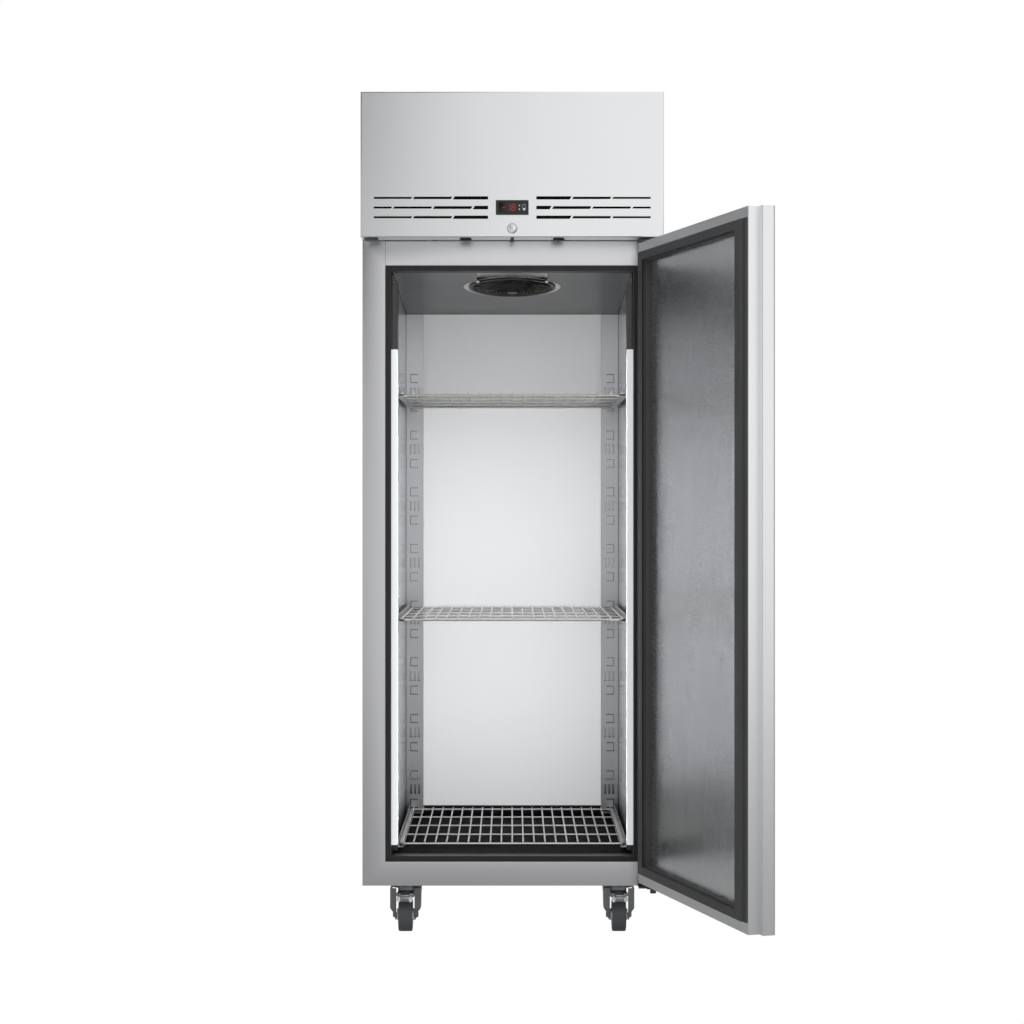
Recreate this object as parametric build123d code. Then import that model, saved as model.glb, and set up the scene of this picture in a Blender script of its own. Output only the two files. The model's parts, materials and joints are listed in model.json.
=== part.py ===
from build123d import *
from math import cos, radians, sin
import os

# An upright freezer on castors, with its door open. Millimetres, X to the right, Y to the back, Z up.
# While it is built, x = 0 is the middle, y = 0 the front plane of the cabinet and z = 0 the floor.
# At the end everything moves so that the origin is on the floor under the middle of the object.

# Cabinet
width = 700.0
body_depth = 770.0
body_height = 1507.0
machine_height = 336.0
sheet = 1.0
liner_sheet = 0.8
side_rail = 53.5
top_rail = 58.0
bottom_rail = 56.0
side_wall = 69.0
floor_wall = 66.0
roof_wall = 65.0
back_wall = 46.0

# Breaker strip round the opening, and the return flange of the front frame behind it
breaker_width = 13.5
breaker_depth = 36.0
breaker_inset = 0.3
breaker_rib = 2.0
breaker_lip = 3.0
flange = 1.2

# Rear air panel, shelf racks and light bars
panel_gap = 16.0
panel_foot = 30.0
panel_sheet = 1.2
rack_width = 46.0
rack_seam = 1.0
rack_pitch = 150.0
rack_top_margin = 209.5
rack_foot = 8.0
punch = 2.6
hook_width = 20.5
hook_height = 24.0
hook_margin = 10.0
stroke_pitch = 10.4
stroke_height = 26.0
front_rack_depth = 10.0
front_rack_width = 45.0
front_rack_setback = 60.0
front_rack_drop = 20.0
light_width = 14.4
light_depth = 26.0
light_setback = 6.0
light_bottom_gap = 28.5
light_length = 1159.0
light_wall = 2.0

# Shelves
shelf_width = 536.0
shelf_front = 80.0
shelf_back_gap = 8.0
shelf_heights = {"top": 1084.0, "middle": 551.4, "bottom": 20.0}
frame_wire = 6.0
cross_wire = 5.0
top_wire = 4.0
top_wire_pitch = 26.0
weld = 0.5
corner_radius = 14.0
runner_sheet = 1.5
runner_leg = 17.0
runner_tread = 13.5
runner_gap = 0.3

# Ceiling: sloping cover and tilted evaporator fan
cover_drop = 39.0
cover_sheet = 1.2
cover_gap = 1.0
fan_y = 245.0
fan_tilt = 6.0
ring_radius = 118.0
ring_throat = 98.0
ring_collar = 23.0
carrier_width = 167.0
guard_radius = 106.0
guard_bulge = 13.0
guard_wire = 3.0
guard_rings = 5
guard_ribs = 8
fan_screw_angle = 42.0
fan_blade_count = 5
fan_motor_radius = 42.0
fan_motor_length = 50.0
shaft_radius = 4.0
running_fit = 0.05

# Evaporator box on the roof, and what stands in the machine compartment
housing_left = -165.0
housing_width = 490.0
housing_wall = 25.0
housing_front_wall = 12.0
housing_height = 169.0
housing_back_gap = 25.0
duct_width = 176.0
duct_depth = 80.0
duct_margin = 20.0
coil_depth = 160.0
coil_height = 118.0
coil_gap = 8.0
condenser_width = 400.0
condenser_height = 250.0
condenser_depth = 30.0
condenser_gap = 6.0
condenser_foot = 19.0
shroud_depth = 26.0
shroud_sheet = 1.5
condenser_fan_radius = 94.0
condenser_motor_radius = 38.0
condenser_motor_length = 22.0
compressor_radius = 75.0
compressor_height = 180.0
compressor_x = -257.0
compressor_y = 245.0
pipe_radius = 5.0
pipe_bend = 16.0
pipe_rise = 25.0
grille_slots = 12
grille_setback = 2.0
gland_radius = 12.0
cord_bore = 4.5
gland_length = 25.0

# Fascia in front of the machine compartment
fascia_depth = 70.0
fascia_lift = 0.4
fascia_gap = 4.0
fascia_pivot_drop = 5.0
fascia_pivot_setback = 7.0
fascia_pin = 2.0
ear_sheet = 2.0
ear_gap = 1.5
ear_radius = 3.8
ear_drop = 20.0
ear_back = 12.0
ear_weld = 8.0
slot_margin = 30.7
slot_inner = 55.7
slot_pitch = 92.3
slot_bridge = 5.0
slot_thin = 4.0
slot_thick = 9.5
slot_slant = 0.6
slot_row_pitch = 22.3
slot_row_z = 68.2
filter_height = 76.0
filter_thickness = 6.0
controller_width = 75.6
controller_height = 34.0
controller_depth = 45.0
controller_proud = 2.0
bezel_border = 2.5
key_width = 9.5
key_height = 17.0
key_places = {"left": 16.6, "right": 27.4}
lock_radius = 11.0
lock_z = 20.3
lock_crank = 9.9
bolt_radius = 4.0
bolt_setback = 35.0
bolt_tip_drop = 8.0
thumb_radius = 13.5
thumb_height = 5.0
thumb_spacing = 216.0
plug_radius = 16.5
plug_height = 6.0

# Door, as it is closed
door_open = 106.0
hinge_inset = 23.5
hinge_setback = 42.0
door_gap = 13.0
door_thickness = 54.0
door_bottom_gap = 12.5
door_top_gap = 9.5
grip_end_gap = 1.5
grip_overhang = 16.5
grip_corner = 6.0
grip_lip = 29.0
grip_edge = 1.5
edge_round = 3.0
rim_edge = 2.0
recess_width = 570.0
recess_depth = 9.0
recess_bottom = 60.0
recess_top = 56.0
trim = 1.5
gasket_side = 43.0
gasket_end = 23.5
gasket_base = 4.0
gasket_clearance = 0.3
bead_inset = 2.0
bead_side = 33.0
bead_end = 22.0

# Hinges
hinge_pin = 5.0
bush_radius = 8.0
bush_length = 14.0
bracket_width = 52.0
bracket_thickness = 4.5
bracket_flange = 3.0
bracket_reach = 52.0
bracket_height = 26.0
washer_gap = 0.3

# Castors
castor_height = 124.0
castor_spacing = 507.0
castor_front = 122.0
castor_back = 660.0
castor_offset = 22.0
wheel_radius = 40.0
wheel_width = 33.0
hub_radius = 14.0
hub_width = 41.0
axle_radius = 4.0
plate_length = 105.0
plate_depth = 85.0
plate_thickness = 4.0
raceway_radius = 36.3
raceway_height = 15.2
raceway_gap = 0.8
kingpin_radius = 6.0
fork_sheet = 3.0
fork_foot = 11.0
fork_waist = 17.0
pedal_pivot = 88.0
pedal_hub = 6.5
pedal_pin = 3.0
pedal_reach = 45.0

# Places that follow from the sizes above
half = width / 2
body_bottom = castor_height
body_top = body_bottom + body_height
height = body_top + machine_height
opening_half = half - side_rail
opening_bottom = body_bottom + bottom_rail
opening_top = body_top - top_rail
breaker_half = opening_half - breaker_width
breaker_bottom = opening_bottom + breaker_width
breaker_top = opening_top - breaker_width
inner_half = half - side_wall
floor_z = body_bottom + floor_wall
roof_z = body_top - roof_wall
rear_y = body_depth - back_wall
panel_y = rear_y - panel_gap
shelf_length = panel_y - shelf_front - shelf_back_gap
cover_front_y = breaker_depth + cover_gap
cover_front_z = breaker_top
cover_length = panel_y - cover_gap - cover_front_y
fan_z = cover_front_z - ring_radius * sin(radians(fan_tilt))
fan_hole = ring_radius + 5.0
fan_place = Pos(0, fan_y, fan_z) * Rot(-fan_tilt, 0, 0)
rack_low = floor_z + rack_foot
rack_high = cover_front_z - cover_drop - cover_gap
first_hook = cover_front_z - rack_top_margin
rack_count = int((first_hook - rack_low - (hook_height + rack_pitch) / 2) / rack_pitch) + 1
housing_front = fan_y - fan_hole - housing_front_wall
housing_back = body_depth - housing_back_gap
housing_middle = housing_left + housing_width / 2
duct_back = housing_back - housing_wall - duct_margin
duct_front = duct_back - duct_depth
duct_starts = (housing_middle - duct_margin - duct_width, housing_middle + duct_margin)
shelf_half = shelf_width / 2
fascia_bottom = body_top + fascia_lift
fascia_front = -fascia_depth
fascia_back = -fascia_gap
slot_z = body_top + slot_row_z
lock_centre = body_top + lock_z
hinge_x = half - hinge_inset
hinge_y = -hinge_setback
door_bottom = body_bottom + door_bottom_gap
door_top = body_top - door_top_gap
door_rim = -door_gap
door_face = door_rim - door_thickness
grip_x = -half + grip_end_gap
recess_half = recess_width / 2
recess_low = body_bottom + recess_bottom
recess_high = body_top - recess_top
panel_face = door_rim - recess_depth
door_swing = Pos(hinge_x, hinge_y, 0) * Rot(0, 0, door_open) * Pos(-hinge_x, -hinge_y, 0)


def block(x0, x1, y0, y1, z0, z1):
    """A block between two corners."""
    return Pos((x0 + x1) / 2, (y0 + y1) / 2, (z0 + z1) / 2) * Box(x1 - x0, y1 - y0, z1 - z0)


def rod(start, end, radius):
    """A round bar from one point to another."""
    line = Vector(*end) - Vector(*start)
    place = Plane(origin=start, z_dir=line)
    return place * Cylinder(radius, line.length, align=(Align.CENTER, Align.CENTER, Align.MIN))


def tube(start, end, radius, bore):
    """A round bar with a bore along its whole length."""
    return rod(start, end, radius) - rod(start, end, bore)


def upright(shape, z0, z1):
    """A flat outline in X and Y, raised between two heights."""
    return Pos(0, 0, z0) * extrude(shape, z1 - z0)


def polygon(points):
    """A flat face in X and Y through the given corners."""
    return make_face(Polyline(*points, close=True))


def side_prism(points, x0, x1):
    """A solid whose outline is given in Y and Z, reaching from x0 to x1."""
    face = Plane(origin=(x0, 0, 0), x_dir=(0, 1, 0), z_dir=(1, 0, 0)) * polygon(points)
    return extrude(face, x1 - x0, dir=(1, 0, 0))


def front_prism(points, y0, y1):
    """A solid whose outline is given in X and Z, reaching from y0 back to y1."""
    face = Plane(origin=(0, y0, 0), x_dir=(1, 0, 0), z_dir=(0, -1, 0)) * polygon(points)
    return extrude(face, y1 - y0, dir=(0, 1, 0))


def both_sides(shape):
    """A piece on the right with its mirror image on the left."""
    return shape + mirror(shape, Plane.YZ)


# Cabinet shell

def roof_holes(z0, z1):
    """The fan's hole and the two return ducts, through everything between two heights."""
    holes = rod((0, fan_y, z0), (0, fan_y, z1), fan_hole)
    for x0 in duct_starts:
        holes += block(x0, x0 + duct_width, duct_front, duct_back, z0, z1)
    return holes


def outer_casing():
    """Steel sides, back, bottom and top of the insulated cabinet."""
    shell = block(-half, half, flange, body_depth, body_bottom, body_top)
    shell -= block(-half + sheet, half - sheet, 0, body_depth - sheet, body_bottom + sheet, body_top - sheet)
    return shell - roof_holes(body_top - 2 * sheet, body_top + sheet)


def front_frame():
    """Posts and rails round the opening, with a flange turned into it, and the seam of the top rail."""
    face = block(-half, half, 0, flange, body_bottom, body_top)
    face -= block(-opening_half, opening_half, -1, flange + 1, opening_bottom, opening_top)
    turned = block(-opening_half - flange, opening_half + flange, flange, breaker_depth,
                   opening_bottom - flange, opening_top + flange)
    turned -= block(-opening_half, opening_half, 0, breaker_depth + 1, opening_bottom, opening_top)
    seam_x = -opening_half
    seam = block(seam_x, seam_x + 0.8, -0.1, 0.5, body_top - 30, body_top)
    return face + turned - seam


def foam_boards():
    """Limits of the boards that the foam is cut into: sides, floor, back, and the roof round its holes."""
    inner = inner_half + liner_sheet
    low = floor_z - liner_sheet
    top = roof_z + liner_sheet
    back = rear_y + liner_sheet
    boards = [(-half, -inner, 0, body_depth, body_bottom, body_top), (inner, half, 0, body_depth, body_bottom, body_top),
              (-inner, inner, 0, body_depth, body_bottom, low), (-inner, inner, back, body_depth, low, top),
              (-inner, 0, 0, duct_front, low, body_top), (0, inner, 0, duct_front, low, body_top),
              (-inner, inner, duct_back, body_depth, top, body_top)]
    left, right = duct_starts
    for x0, x1 in ((-inner, left), (left + duct_width, right), (right + duct_width, inner)):
        boards.append((x0, x1, duct_front, duct_back, top, body_top))
    return boards


def insulation_foam():
    """Foam boards between the casing and the liner."""
    foam = block(-half + sheet, half - sheet, flange, body_depth - sheet, body_bottom + sheet, body_top - sheet)
    foam -= block(-opening_half - flange, opening_half + flange, 0, breaker_depth,
                  opening_bottom - flange, opening_top + flange)
    foam -= block(-inner_half - liner_sheet, inner_half + liner_sheet, breaker_depth - 1, rear_y + liner_sheet,
                  floor_z - liner_sheet, roof_z + liner_sheet)
    foam -= roof_holes(roof_z, body_top)
    return Compound(children=[foam & block(*limits) for limits in foam_boards()])


def inner_liner():
    """Steel lining of the storage space."""
    shell = block(-inner_half - liner_sheet, inner_half + liner_sheet, breaker_depth, rear_y + liner_sheet,
                  floor_z - liner_sheet, roof_z + liner_sheet)
    shell -= block(-inner_half, inner_half, 0, rear_y, floor_z, roof_z)
    return shell - roof_holes(roof_z - 1, roof_z + liner_sheet + 1)


def opening_ring(outer, inner, y0, y1):
    """A ring in the door opening, between two insets from the opening's edge."""
    ring = block(-opening_half + outer, opening_half - outer, y0, y1, opening_bottom + outer, opening_top - outer)
    return ring - block(-opening_half + inner, opening_half - inner, y0 - 1, y1 + 1,
                        opening_bottom + inner, opening_top - inner)


def breaker_frame():
    """Black plastic strip round the opening, ribbed in front, with a lip over the liner's edge."""
    strip = opening_ring(0, breaker_width, breaker_inset + breaker_rib, breaker_depth)
    rib_pitch = breaker_width / 3
    for number in range(3):
        start = number * rib_pitch
        strip += opening_ring(start, start + rib_pitch * 0.7, breaker_inset, breaker_inset + breaker_rib)
    lip = block(inner_half, breaker_half, breaker_depth - breaker_lip, breaker_depth, breaker_bottom, breaker_top)
    return strip + both_sides(lip)


# Storage space

def rear_air_panel():
    """Flat panel in front of the rear air duct, with its two sides turned back."""
    edge = inner_half - rack_width
    low = floor_z + panel_foot
    plate = block(-edge, edge, panel_y, panel_y + panel_sheet, low, rack_high)
    side = block(edge - panel_sheet, edge, panel_y + panel_sheet, rear_y, low, rack_high)
    return Compound(children=[plate, side, mirror(side, Plane.YZ)])


def hook_slot(x, z, turn):
    """A C-shaped cut that frees a tongue; its upright stroke is at x and its arms reach inwards."""
    arm_end = x - hook_width
    cut = block(x - punch, x, -1, 1, z - hook_height / 2, z + hook_height / 2)
    for edge in (z - hook_height / 2, z + hook_height / 2 - punch):
        cut += block(arm_end, x, -1, 1, edge, edge + punch)
    return Pos(0, turn, 0) * cut


def rear_racks():
    """Upright channels in the rear corners, punched with the shelf hooks' pattern."""
    inner = inner_half - rack_width + rack_seam / 2
    outer = inner_half - rack_seam
    plate = block(inner, outer, panel_y, panel_y + panel_sheet, rack_low, rack_high)
    depth = panel_y + panel_sheet / 2
    upright_stroke = outer - hook_margin
    for number in range(rack_count):
        top = first_hook - number * rack_pitch
        plate -= hook_slot(upright_stroke, top, depth)
        plate -= hook_slot(upright_stroke, top - rack_pitch / 2, depth)
        z = top - rack_pitch / 4
        for stroke in range(3):
            x = upright_stroke - stroke * stroke_pitch
            plate -= block(x - 2 * punch, x, depth - 1, depth + 1, z - stroke_height / 2, z + stroke_height / 2)
    for x in (inner, outer - panel_sheet):
        plate += block(x, x + panel_sheet, panel_y + panel_sheet, rear_y, rack_low, rack_high)
    return both_sides(plate)


def front_racks():
    """Upright channels on the side walls near the front, slotted at the same pitch."""
    high = cover_front_z - front_rack_drop
    face = inner_half - front_rack_depth
    y0 = front_rack_setback
    y1 = y0 + front_rack_width
    channel = block(face, inner_half, y0, y1, rack_low, high)
    channel -= block(face + panel_sheet, inner_half + 1, y0 + panel_sheet, y1 - panel_sheet, rack_low - 1, high + 1)
    for number in range(rack_count):
        z = first_hook - number * rack_pitch
        channel -= block(face - 1, face + 2, y0 + 10, y1 - 10, z - 4, z + 4)
    return both_sides(channel)


def light_z():
    """Heights of the lower and upper end of the light bars."""
    low = floor_z + light_bottom_gap
    return low, low + light_length


def led_housings():
    """Profiles that hold the light strips against the breaker's inner faces."""
    low, high = light_z()
    profile = block(breaker_half - light_width + 2 * light_wall + 0.5, breaker_half, light_setback + light_wall + 0.5,
                    light_setback + light_depth, low + light_wall, high - light_wall)
    return both_sides(profile)


def led_diffusers():
    """White covers over the light strips, closed in front and at both ends."""
    low, high = light_z()
    inner = breaker_half - light_width
    cover = block(inner, breaker_half, light_setback, light_setback + light_depth, low, high)
    cover -= block(inner + light_wall, breaker_half + 1, light_setback + light_wall, light_setback + light_depth + 1,
                   low + light_wall, high - light_wall)
    return both_sides(cover)


def shelf(level):
    """A wire shelf: a frame with rounded front corners, cross bars, and wires from front to back on top."""
    z = floor_z + level
    r = frame_wire / 2
    x = shelf_half - r
    y0 = shelf_front
    y1 = shelf_front + shelf_length
    path = FilletPolyline((-x, y1 - r, z), (-x, y0 + r, z), (x, y0 + r, z), (x, y1 - r, z), radius=corner_radius)
    wires = sweep(Plane(origin=path @ 0, z_dir=path % 0) * Circle(r), path)
    wires += rod((-x, y1 - r, z), (x, y1 - r, z), r)
    for share in (0.25, 0.5, 0.75):
        y = y0 + share * shelf_length
        wires += rod((-x, y, z), (x, y, z), cross_wire / 2)
    count = int((2 * x - frame_wire) / top_wire_pitch)
    first = -count * top_wire_pitch / 2
    top = z + r + top_wire / 2 - weld
    for number in range(count + 1):
        across = first + number * top_wire_pitch
        wires += rod((across, y0, top), (across, y1, top), top_wire / 2)
    return wires


def runner_levels():
    """The height of each runner's tread, just under its shelf."""
    return [floor_z + level - frame_wire / 2 - runner_gap for level in shelf_heights.values()]


def shelf_runners():
    """Angle rails on the racks that carry the shelves."""
    rack_face = inner_half - front_rack_depth
    outer = shelf_half + 0.6 + runner_sheet
    y0 = front_rack_setback
    y1 = shelf_front + shelf_length
    rails = []
    for top in runner_levels():
        rail = block(outer - runner_tread, outer, y0, y1, top - runner_sheet, top)
        rail += block(outer - runner_sheet, outer, y0, panel_y, top - runner_sheet, top + runner_leg)
        rail += block(outer, rack_face, y0 + 10, y0 + front_rack_width - 10, top, top + runner_leg - 4)
        rails += [rail, mirror(rail, Plane.YZ)]
    return Compound(children=rails)


# Ceiling and evaporator fan

def cover_slope(y):
    """Height of the cover's lower face at a depth."""
    return cover_front_z - cover_drop * (y - cover_front_y) / cover_length


def evaporator_cover():
    """Sloping ceiling sheet with a turned front edge, cut out for the fan ring and its carrier plate."""
    edge = inner_half - cover_gap
    y0 = cover_front_y
    y1 = cover_front_y + cover_length
    lift = cover_sheet
    section = [(y0, cover_slope(y0)), (y1, cover_slope(y1)), (y1, cover_slope(y1) + lift),
               (y0 + lift, cover_slope(y0) + lift), (y0 + lift, roof_z), (y0, roof_z)]
    cover = side_prism(section, -edge, edge)
    cover -= fan_place * Cylinder(ring_radius + 0.5, 3 * ring_collar)
    notch = carrier_width / 2 + 0.5
    return cover - block(-notch, notch, y0 + lift, fan_y, cover_slope(fan_y), roof_z - 0.2)


def fan_ring():
    """Tilted mounting ring with its collar and screws, and the level carrier plate in front of it."""
    start = (Align.CENTER, Align.CENTER, Align.MIN)
    ring = Cylinder(ring_radius, ring_collar, align=start)
    ring -= Pos(0, 0, cover_sheet) * Cylinder(ring_radius - cover_sheet, ring_collar, align=start)
    ring -= Pos(0, 0, -1) * Cylinder(ring_throat, ring_collar, align=start)
    screw_circle = (ring_radius + guard_radius) / 2
    for angle in (fan_screw_angle, 180 - fan_screw_angle, 180 + fan_screw_angle, -fan_screw_angle):
        place = Pos(screw_circle * cos(radians(angle)), screw_circle * sin(radians(angle)), -2)
        ring += place * Cylinder(3, 2, align=start)
    side = carrier_width / 2
    plate = block(-side, side, cover_front_y + cover_sheet, fan_y - ring_throat, cover_front_z,
                  cover_front_z + cover_sheet)
    plate -= fan_place * Cylinder(ring_radius - cover_sheet / 2, 4 * ring_collar)
    return fan_place * ring + plate


def guard_height(radius):
    """Depth of the domed guard below the ring at a radius."""
    return -guard_wire - guard_bulge * (1 - (radius / guard_radius) ** 2)


def fan_guard():
    """Black domed guard of rings and ribs under the fan."""
    wire = guard_wire
    low = (Align.CENTER, Align.CENTER, Align.MIN)
    rim = Pos(0, 0, -wire) * (Cylinder(guard_radius, wire, align=low) - Cylinder(ring_throat - 1, wire, align=low))
    hub_height = guard_height(0)
    guard = rim + Pos(0, 0, hub_height) * Cylinder(14, wire, align=low)
    for number in range(1, guard_rings + 1):
        radius = guard_radius * number / (guard_rings + 1)
        ring = Cylinder(radius + wire / 2, wire, align=low) - Cylinder(radius - wire / 2, wire, align=low)
        guard += Pos(0, 0, guard_height(radius)) * ring
    steps = 8
    reach = guard_radius - 1
    curve = [(reach * step / steps, guard_height(reach * step / steps)) for step in range(steps + 1)]
    points = curve + [(x, z + wire) for x, z in reversed(curve)]
    rib = front_prism(points, -wire / 2, wire / 2)
    for number in range(guard_ribs):
        guard += Rot(0, 0, 360 * number / guard_ribs) * rib
    return fan_place * guard


def propeller(radius, hub, count, chord, pitch, thickness, depth):
    """A hub with pitched blades about Z, standing on z = 0."""
    low = (Align.CENTER, Align.CENTER, Align.MIN)
    shape = Cylinder(hub, depth, align=low)
    blade = block(hub - 2, radius - 4, -chord / 2, chord / 2, -thickness / 2, thickness / 2)
    blade = Pos(0, 0, depth / 2) * Rot(pitch, 0, 0) * blade
    for number in range(count):
        shape += Rot(0, 0, 360 * number / count) * blade
    return shape & Cylinder(radius, 4 * depth)


def evaporator_fan_blade():
    """Blade and shaft that turn above the guard."""
    depth = 11.0
    blade = Pos(0, 0, 1) * propeller(ring_throat - 5, 28, fan_blade_count, 42, 13, 1.5, depth)
    blade += rod((0, 0, 1 + depth), (0, 0, ring_collar + 12), shaft_radius)
    return fan_place * blade


def evaporator_fan_motor():
    """Motor above the blade, on four arms that reach the ring's collar."""
    floor = ring_collar - 3
    motor = rod((0, 0, floor), (0, 0, floor + fan_motor_length), fan_motor_radius)
    reach = ring_radius - cover_sheet
    for angle in (0, 90, 180, 270):
        motor += Rot(0, 0, 45 + angle) * block(0, reach - 0.6, -8, 8, floor, floor + 3)
    motor -= rod((0, 0, floor - 1), (0, 0, floor + 20), shaft_radius + running_fit)
    return fan_place * (motor & Cylinder(reach, 4 * fan_motor_length))


# Machine compartment

def evaporator_housing():
    """Insulated box on the roof over the fan's hole and the return ducts, open below."""
    x0 = housing_left
    x1 = housing_left + housing_width
    top = body_top + housing_height
    wall = housing_wall
    shell = block(x0, x1, housing_front, housing_back, body_top, top)
    return shell - block(x0 + wall, x1 - wall, housing_front + housing_front_wall, housing_back - wall,
                         body_top - 1, top - wall)


def evaporator_coil():
    """Finned block inside the evaporator box."""
    x0 = housing_left + housing_wall + coil_gap
    x1 = housing_left + housing_width - housing_wall - coil_gap
    y0 = fan_y + fan_hole + 3 * coil_gap
    coil = block(x0, x1, y0, y0 + coil_depth, body_top, body_top + coil_height)
    fin_pitch = 20.0
    for number in range(1, int((x1 - x0) / fin_pitch)):
        x = x0 + number * fin_pitch
        coil -= block(x, x + 3, y0 - 1, y0 + 12, body_top + coil_gap, body_top + coil_height + 1)
    return coil


def condensate_tray():
    """Pan for the melt water, with the drain pipe that leads to it from the evaporator box."""
    x1 = housing_left - 10
    x0 = -half + sheet + 10
    y1 = housing_back
    y0 = y1 - 180
    rim = body_top + 24
    pan = block(x0, x1, y0, y1, body_top, rim)
    pan -= block(x0 + 2, x1 - 2, y0 + 2, y1 - 2, body_top + 2, rim + 1)
    drain_z = rim + 8
    drain_y = (y0 + y1) / 2
    drain = tube((x1 - 25, drain_y, drain_z), (housing_left, drain_y, drain_z), 6, 4)
    prop = block(x1 - 2, x1, drain_y - 5, drain_y + 5, rim, drain_z - 5)
    return pan + prop + drain


def compressor():
    """Welded pot on a foot plate, with two pipe stubs."""
    low = (Align.CENTER, Align.CENTER, Align.MIN)
    foot = 12.0
    dome = 40.0
    straight = compressor_height - foot - dome
    pot = Pos(0, 0, foot) * Cylinder(compressor_radius, straight, align=low)
    pot += Pos(0, 0, foot + straight) * Cone(compressor_radius, compressor_radius * 0.55, dome, align=low)
    pot += Pos(0, 0, 0) * Box(2 * compressor_radius, 120, foot, align=low)
    for y in (-30, 30):
        pot += Pos(27, y, compressor_height - dome) * Cylinder(pipe_radius, dome + 20, align=low)
    return Pos(compressor_x, compressor_y, body_top) * pot


def condenser_z():
    """Heights of the condenser's lower and upper face."""
    low = body_top + condenser_foot
    return low, low + condenser_height


def condenser_coil():
    """Finned block at the front of the compartment, standing on its two end plates."""
    side = condenser_width / 2
    y0 = condenser_gap
    y1 = condenser_gap + condenser_depth
    low, high = condenser_z()
    coil = block(-side, side, y0, y1, low, high)
    fin_pitch = 10.0
    for number in range(1, int(condenser_width / fin_pitch)):
        x = -side + number * fin_pitch
        coil -= block(x, x + 2, y0 - 1, y0 + 6, low + 10, high - 10)
    for x in (-side, side - 3):
        coil += block(x, x + 3, y0, y1, body_top, low)
    return coil


def condenser_centre():
    """Height of the condenser fan's axis."""
    low, high = condenser_z()
    return (low + high) / 2


def condenser_shroud():
    """Sheet box behind the condenser with the fan's hole and collar."""
    side = condenser_width / 2
    low, high = condenser_z()
    y0 = condenser_gap + condenser_depth
    y1 = y0 + shroud_depth
    t = shroud_sheet
    middle = condenser_centre()
    hole = condenser_fan_radius + 4
    box = block(-side, side, y0, y1, low, high) - block(-side + t, side - t, y0 - 1, y1 - t, low + t, high - t)
    box -= rod((0, y0, middle), (0, y1 + 1, middle), hole)
    return box + tube((0, y1, middle), (0, y1 + 16, middle), hole + t, hole)


def condenser_fan_motor():
    """Motor behind the shroud on four arms whose ends turn forward to it."""
    middle = condenser_centre()
    y0 = condenser_gap + condenser_depth + shroud_depth
    y_arm = y0 + 18
    reach = condenser_fan_radius + 4 + shroud_sheet
    motor = rod((0, 0, 0), (0, 0, condenser_motor_length), condenser_motor_radius)
    for angle in (45, 135, 225, 315):
        arm = block(0, reach + 12, -6, 6, 0, 3) + block(reach + 1, reach + 12, -6, 6, y0 - y_arm, 0)
        motor += Rot(0, 0, angle) * arm
    motor -= rod((0, 0, -1), (0, 0, 15), shaft_radius + running_fit)
    return Pos(0, y_arm, middle) * Rot(-90, 0, 0) * motor


def condenser_fan_blade():
    """Blade and shaft that turn in the shroud's collar."""
    y0 = condenser_gap + condenser_depth + shroud_depth
    depth = 14.0
    blade = propeller(condenser_fan_radius, 26, fan_blade_count, 46, 14, 1.5, depth)
    blade += rod((0, 0, depth), (0, 0, 18 + 10), shaft_radius)
    return Pos(0, y0, condenser_centre()) * Rot(-90, 0, 0) * blade


def bent_pipe(points):
    """A pipe along straight runs with equal bends."""
    path = FilletPolyline(*points, radius=pipe_bend)
    return sweep(Plane(origin=path @ 0, z_dir=path % 0) * Circle(pipe_radius), path)


def refrigerant_pipes():
    """Copper pipes: compressor to condenser, condenser to evaporator, and back to the compressor."""
    stub_x = compressor_x + 27
    stub_z = body_top + compressor_height + 20
    coil_y = condenser_gap + condenser_depth / 2
    coil_top = condenser_z()[1]
    over = coil_top + 2 * pipe_rise
    side = condenser_width / 2 - 50
    roof = body_top + housing_height
    down_y = compressor_y + 55
    loop = stub_z + 2 * pipe_rise
    discharge = bent_pipe([(stub_x, compressor_y - 30, stub_z), (stub_x, compressor_y - 30, over),
                           (-side, compressor_y - 30, over), (-side, coil_y, over), (-side, coil_y, coil_top)])
    liquid = bent_pipe([(side, coil_y, coil_top), (side, coil_y, over), (side, down_y, over), (side, down_y, roof)])
    return_x = housing_left + 50
    return_y = compressor_y + 30
    suction = bent_pipe([(return_x, return_y, roof), (return_x, return_y, loop), (stub_x, return_y, loop),
                         (stub_x, return_y, stub_z)])
    return Compound(children=[discharge, liquid, suction])


def electrical_box():
    """Terminal box behind the compressor."""
    x1 = housing_left - 15
    y0 = compressor_y + compressor_radius + 60
    box = block(-half + sheet + 10, x1, y0, y0 + 130, body_top, body_top + 120)
    lid = block(-half + sheet + 14, x1 - 4, y0 + 4, y0 + 126, body_top + 120, body_top + 124)
    return box + lid


def fascia_ear():
    """The right ear of the fascia: a disc with the pin, a leg under it and an arm back to the side sheet."""
    x1 = half - sheet - ear_gap
    x0 = x1 - ear_sheet
    pivot_y = -fascia_pivot_setback
    pivot_z = height - fascia_pivot_drop
    front = pivot_y - ear_radius
    low = pivot_z - ear_drop
    bend = pivot_z - ear_drop / 2
    ear = rod((x0, pivot_y, pivot_z), (x1, pivot_y, pivot_z), ear_radius)
    ear += block(x0, x1, front, pivot_y + ear_radius, low, pivot_z)
    ear += block(x0, x1, front, ear_back, low, bend)
    ear += block(x0, half - sheet, ear_back - ear_weld, ear_back, low, bend)
    return ear + rod((x1, pivot_y, pivot_z), (half, pivot_y, pivot_z), fascia_pin)


def machine_housing():
    """Side and top sheets of the machine compartment, with the two ears and pins of the fascia."""
    shell = block(-half, half, 0, body_depth, body_top, height)
    shell -= block(-half + sheet, half - sheet, -1, body_depth + 1, body_top - 1, height - sheet)
    return shell + both_sides(fascia_ear())


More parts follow.
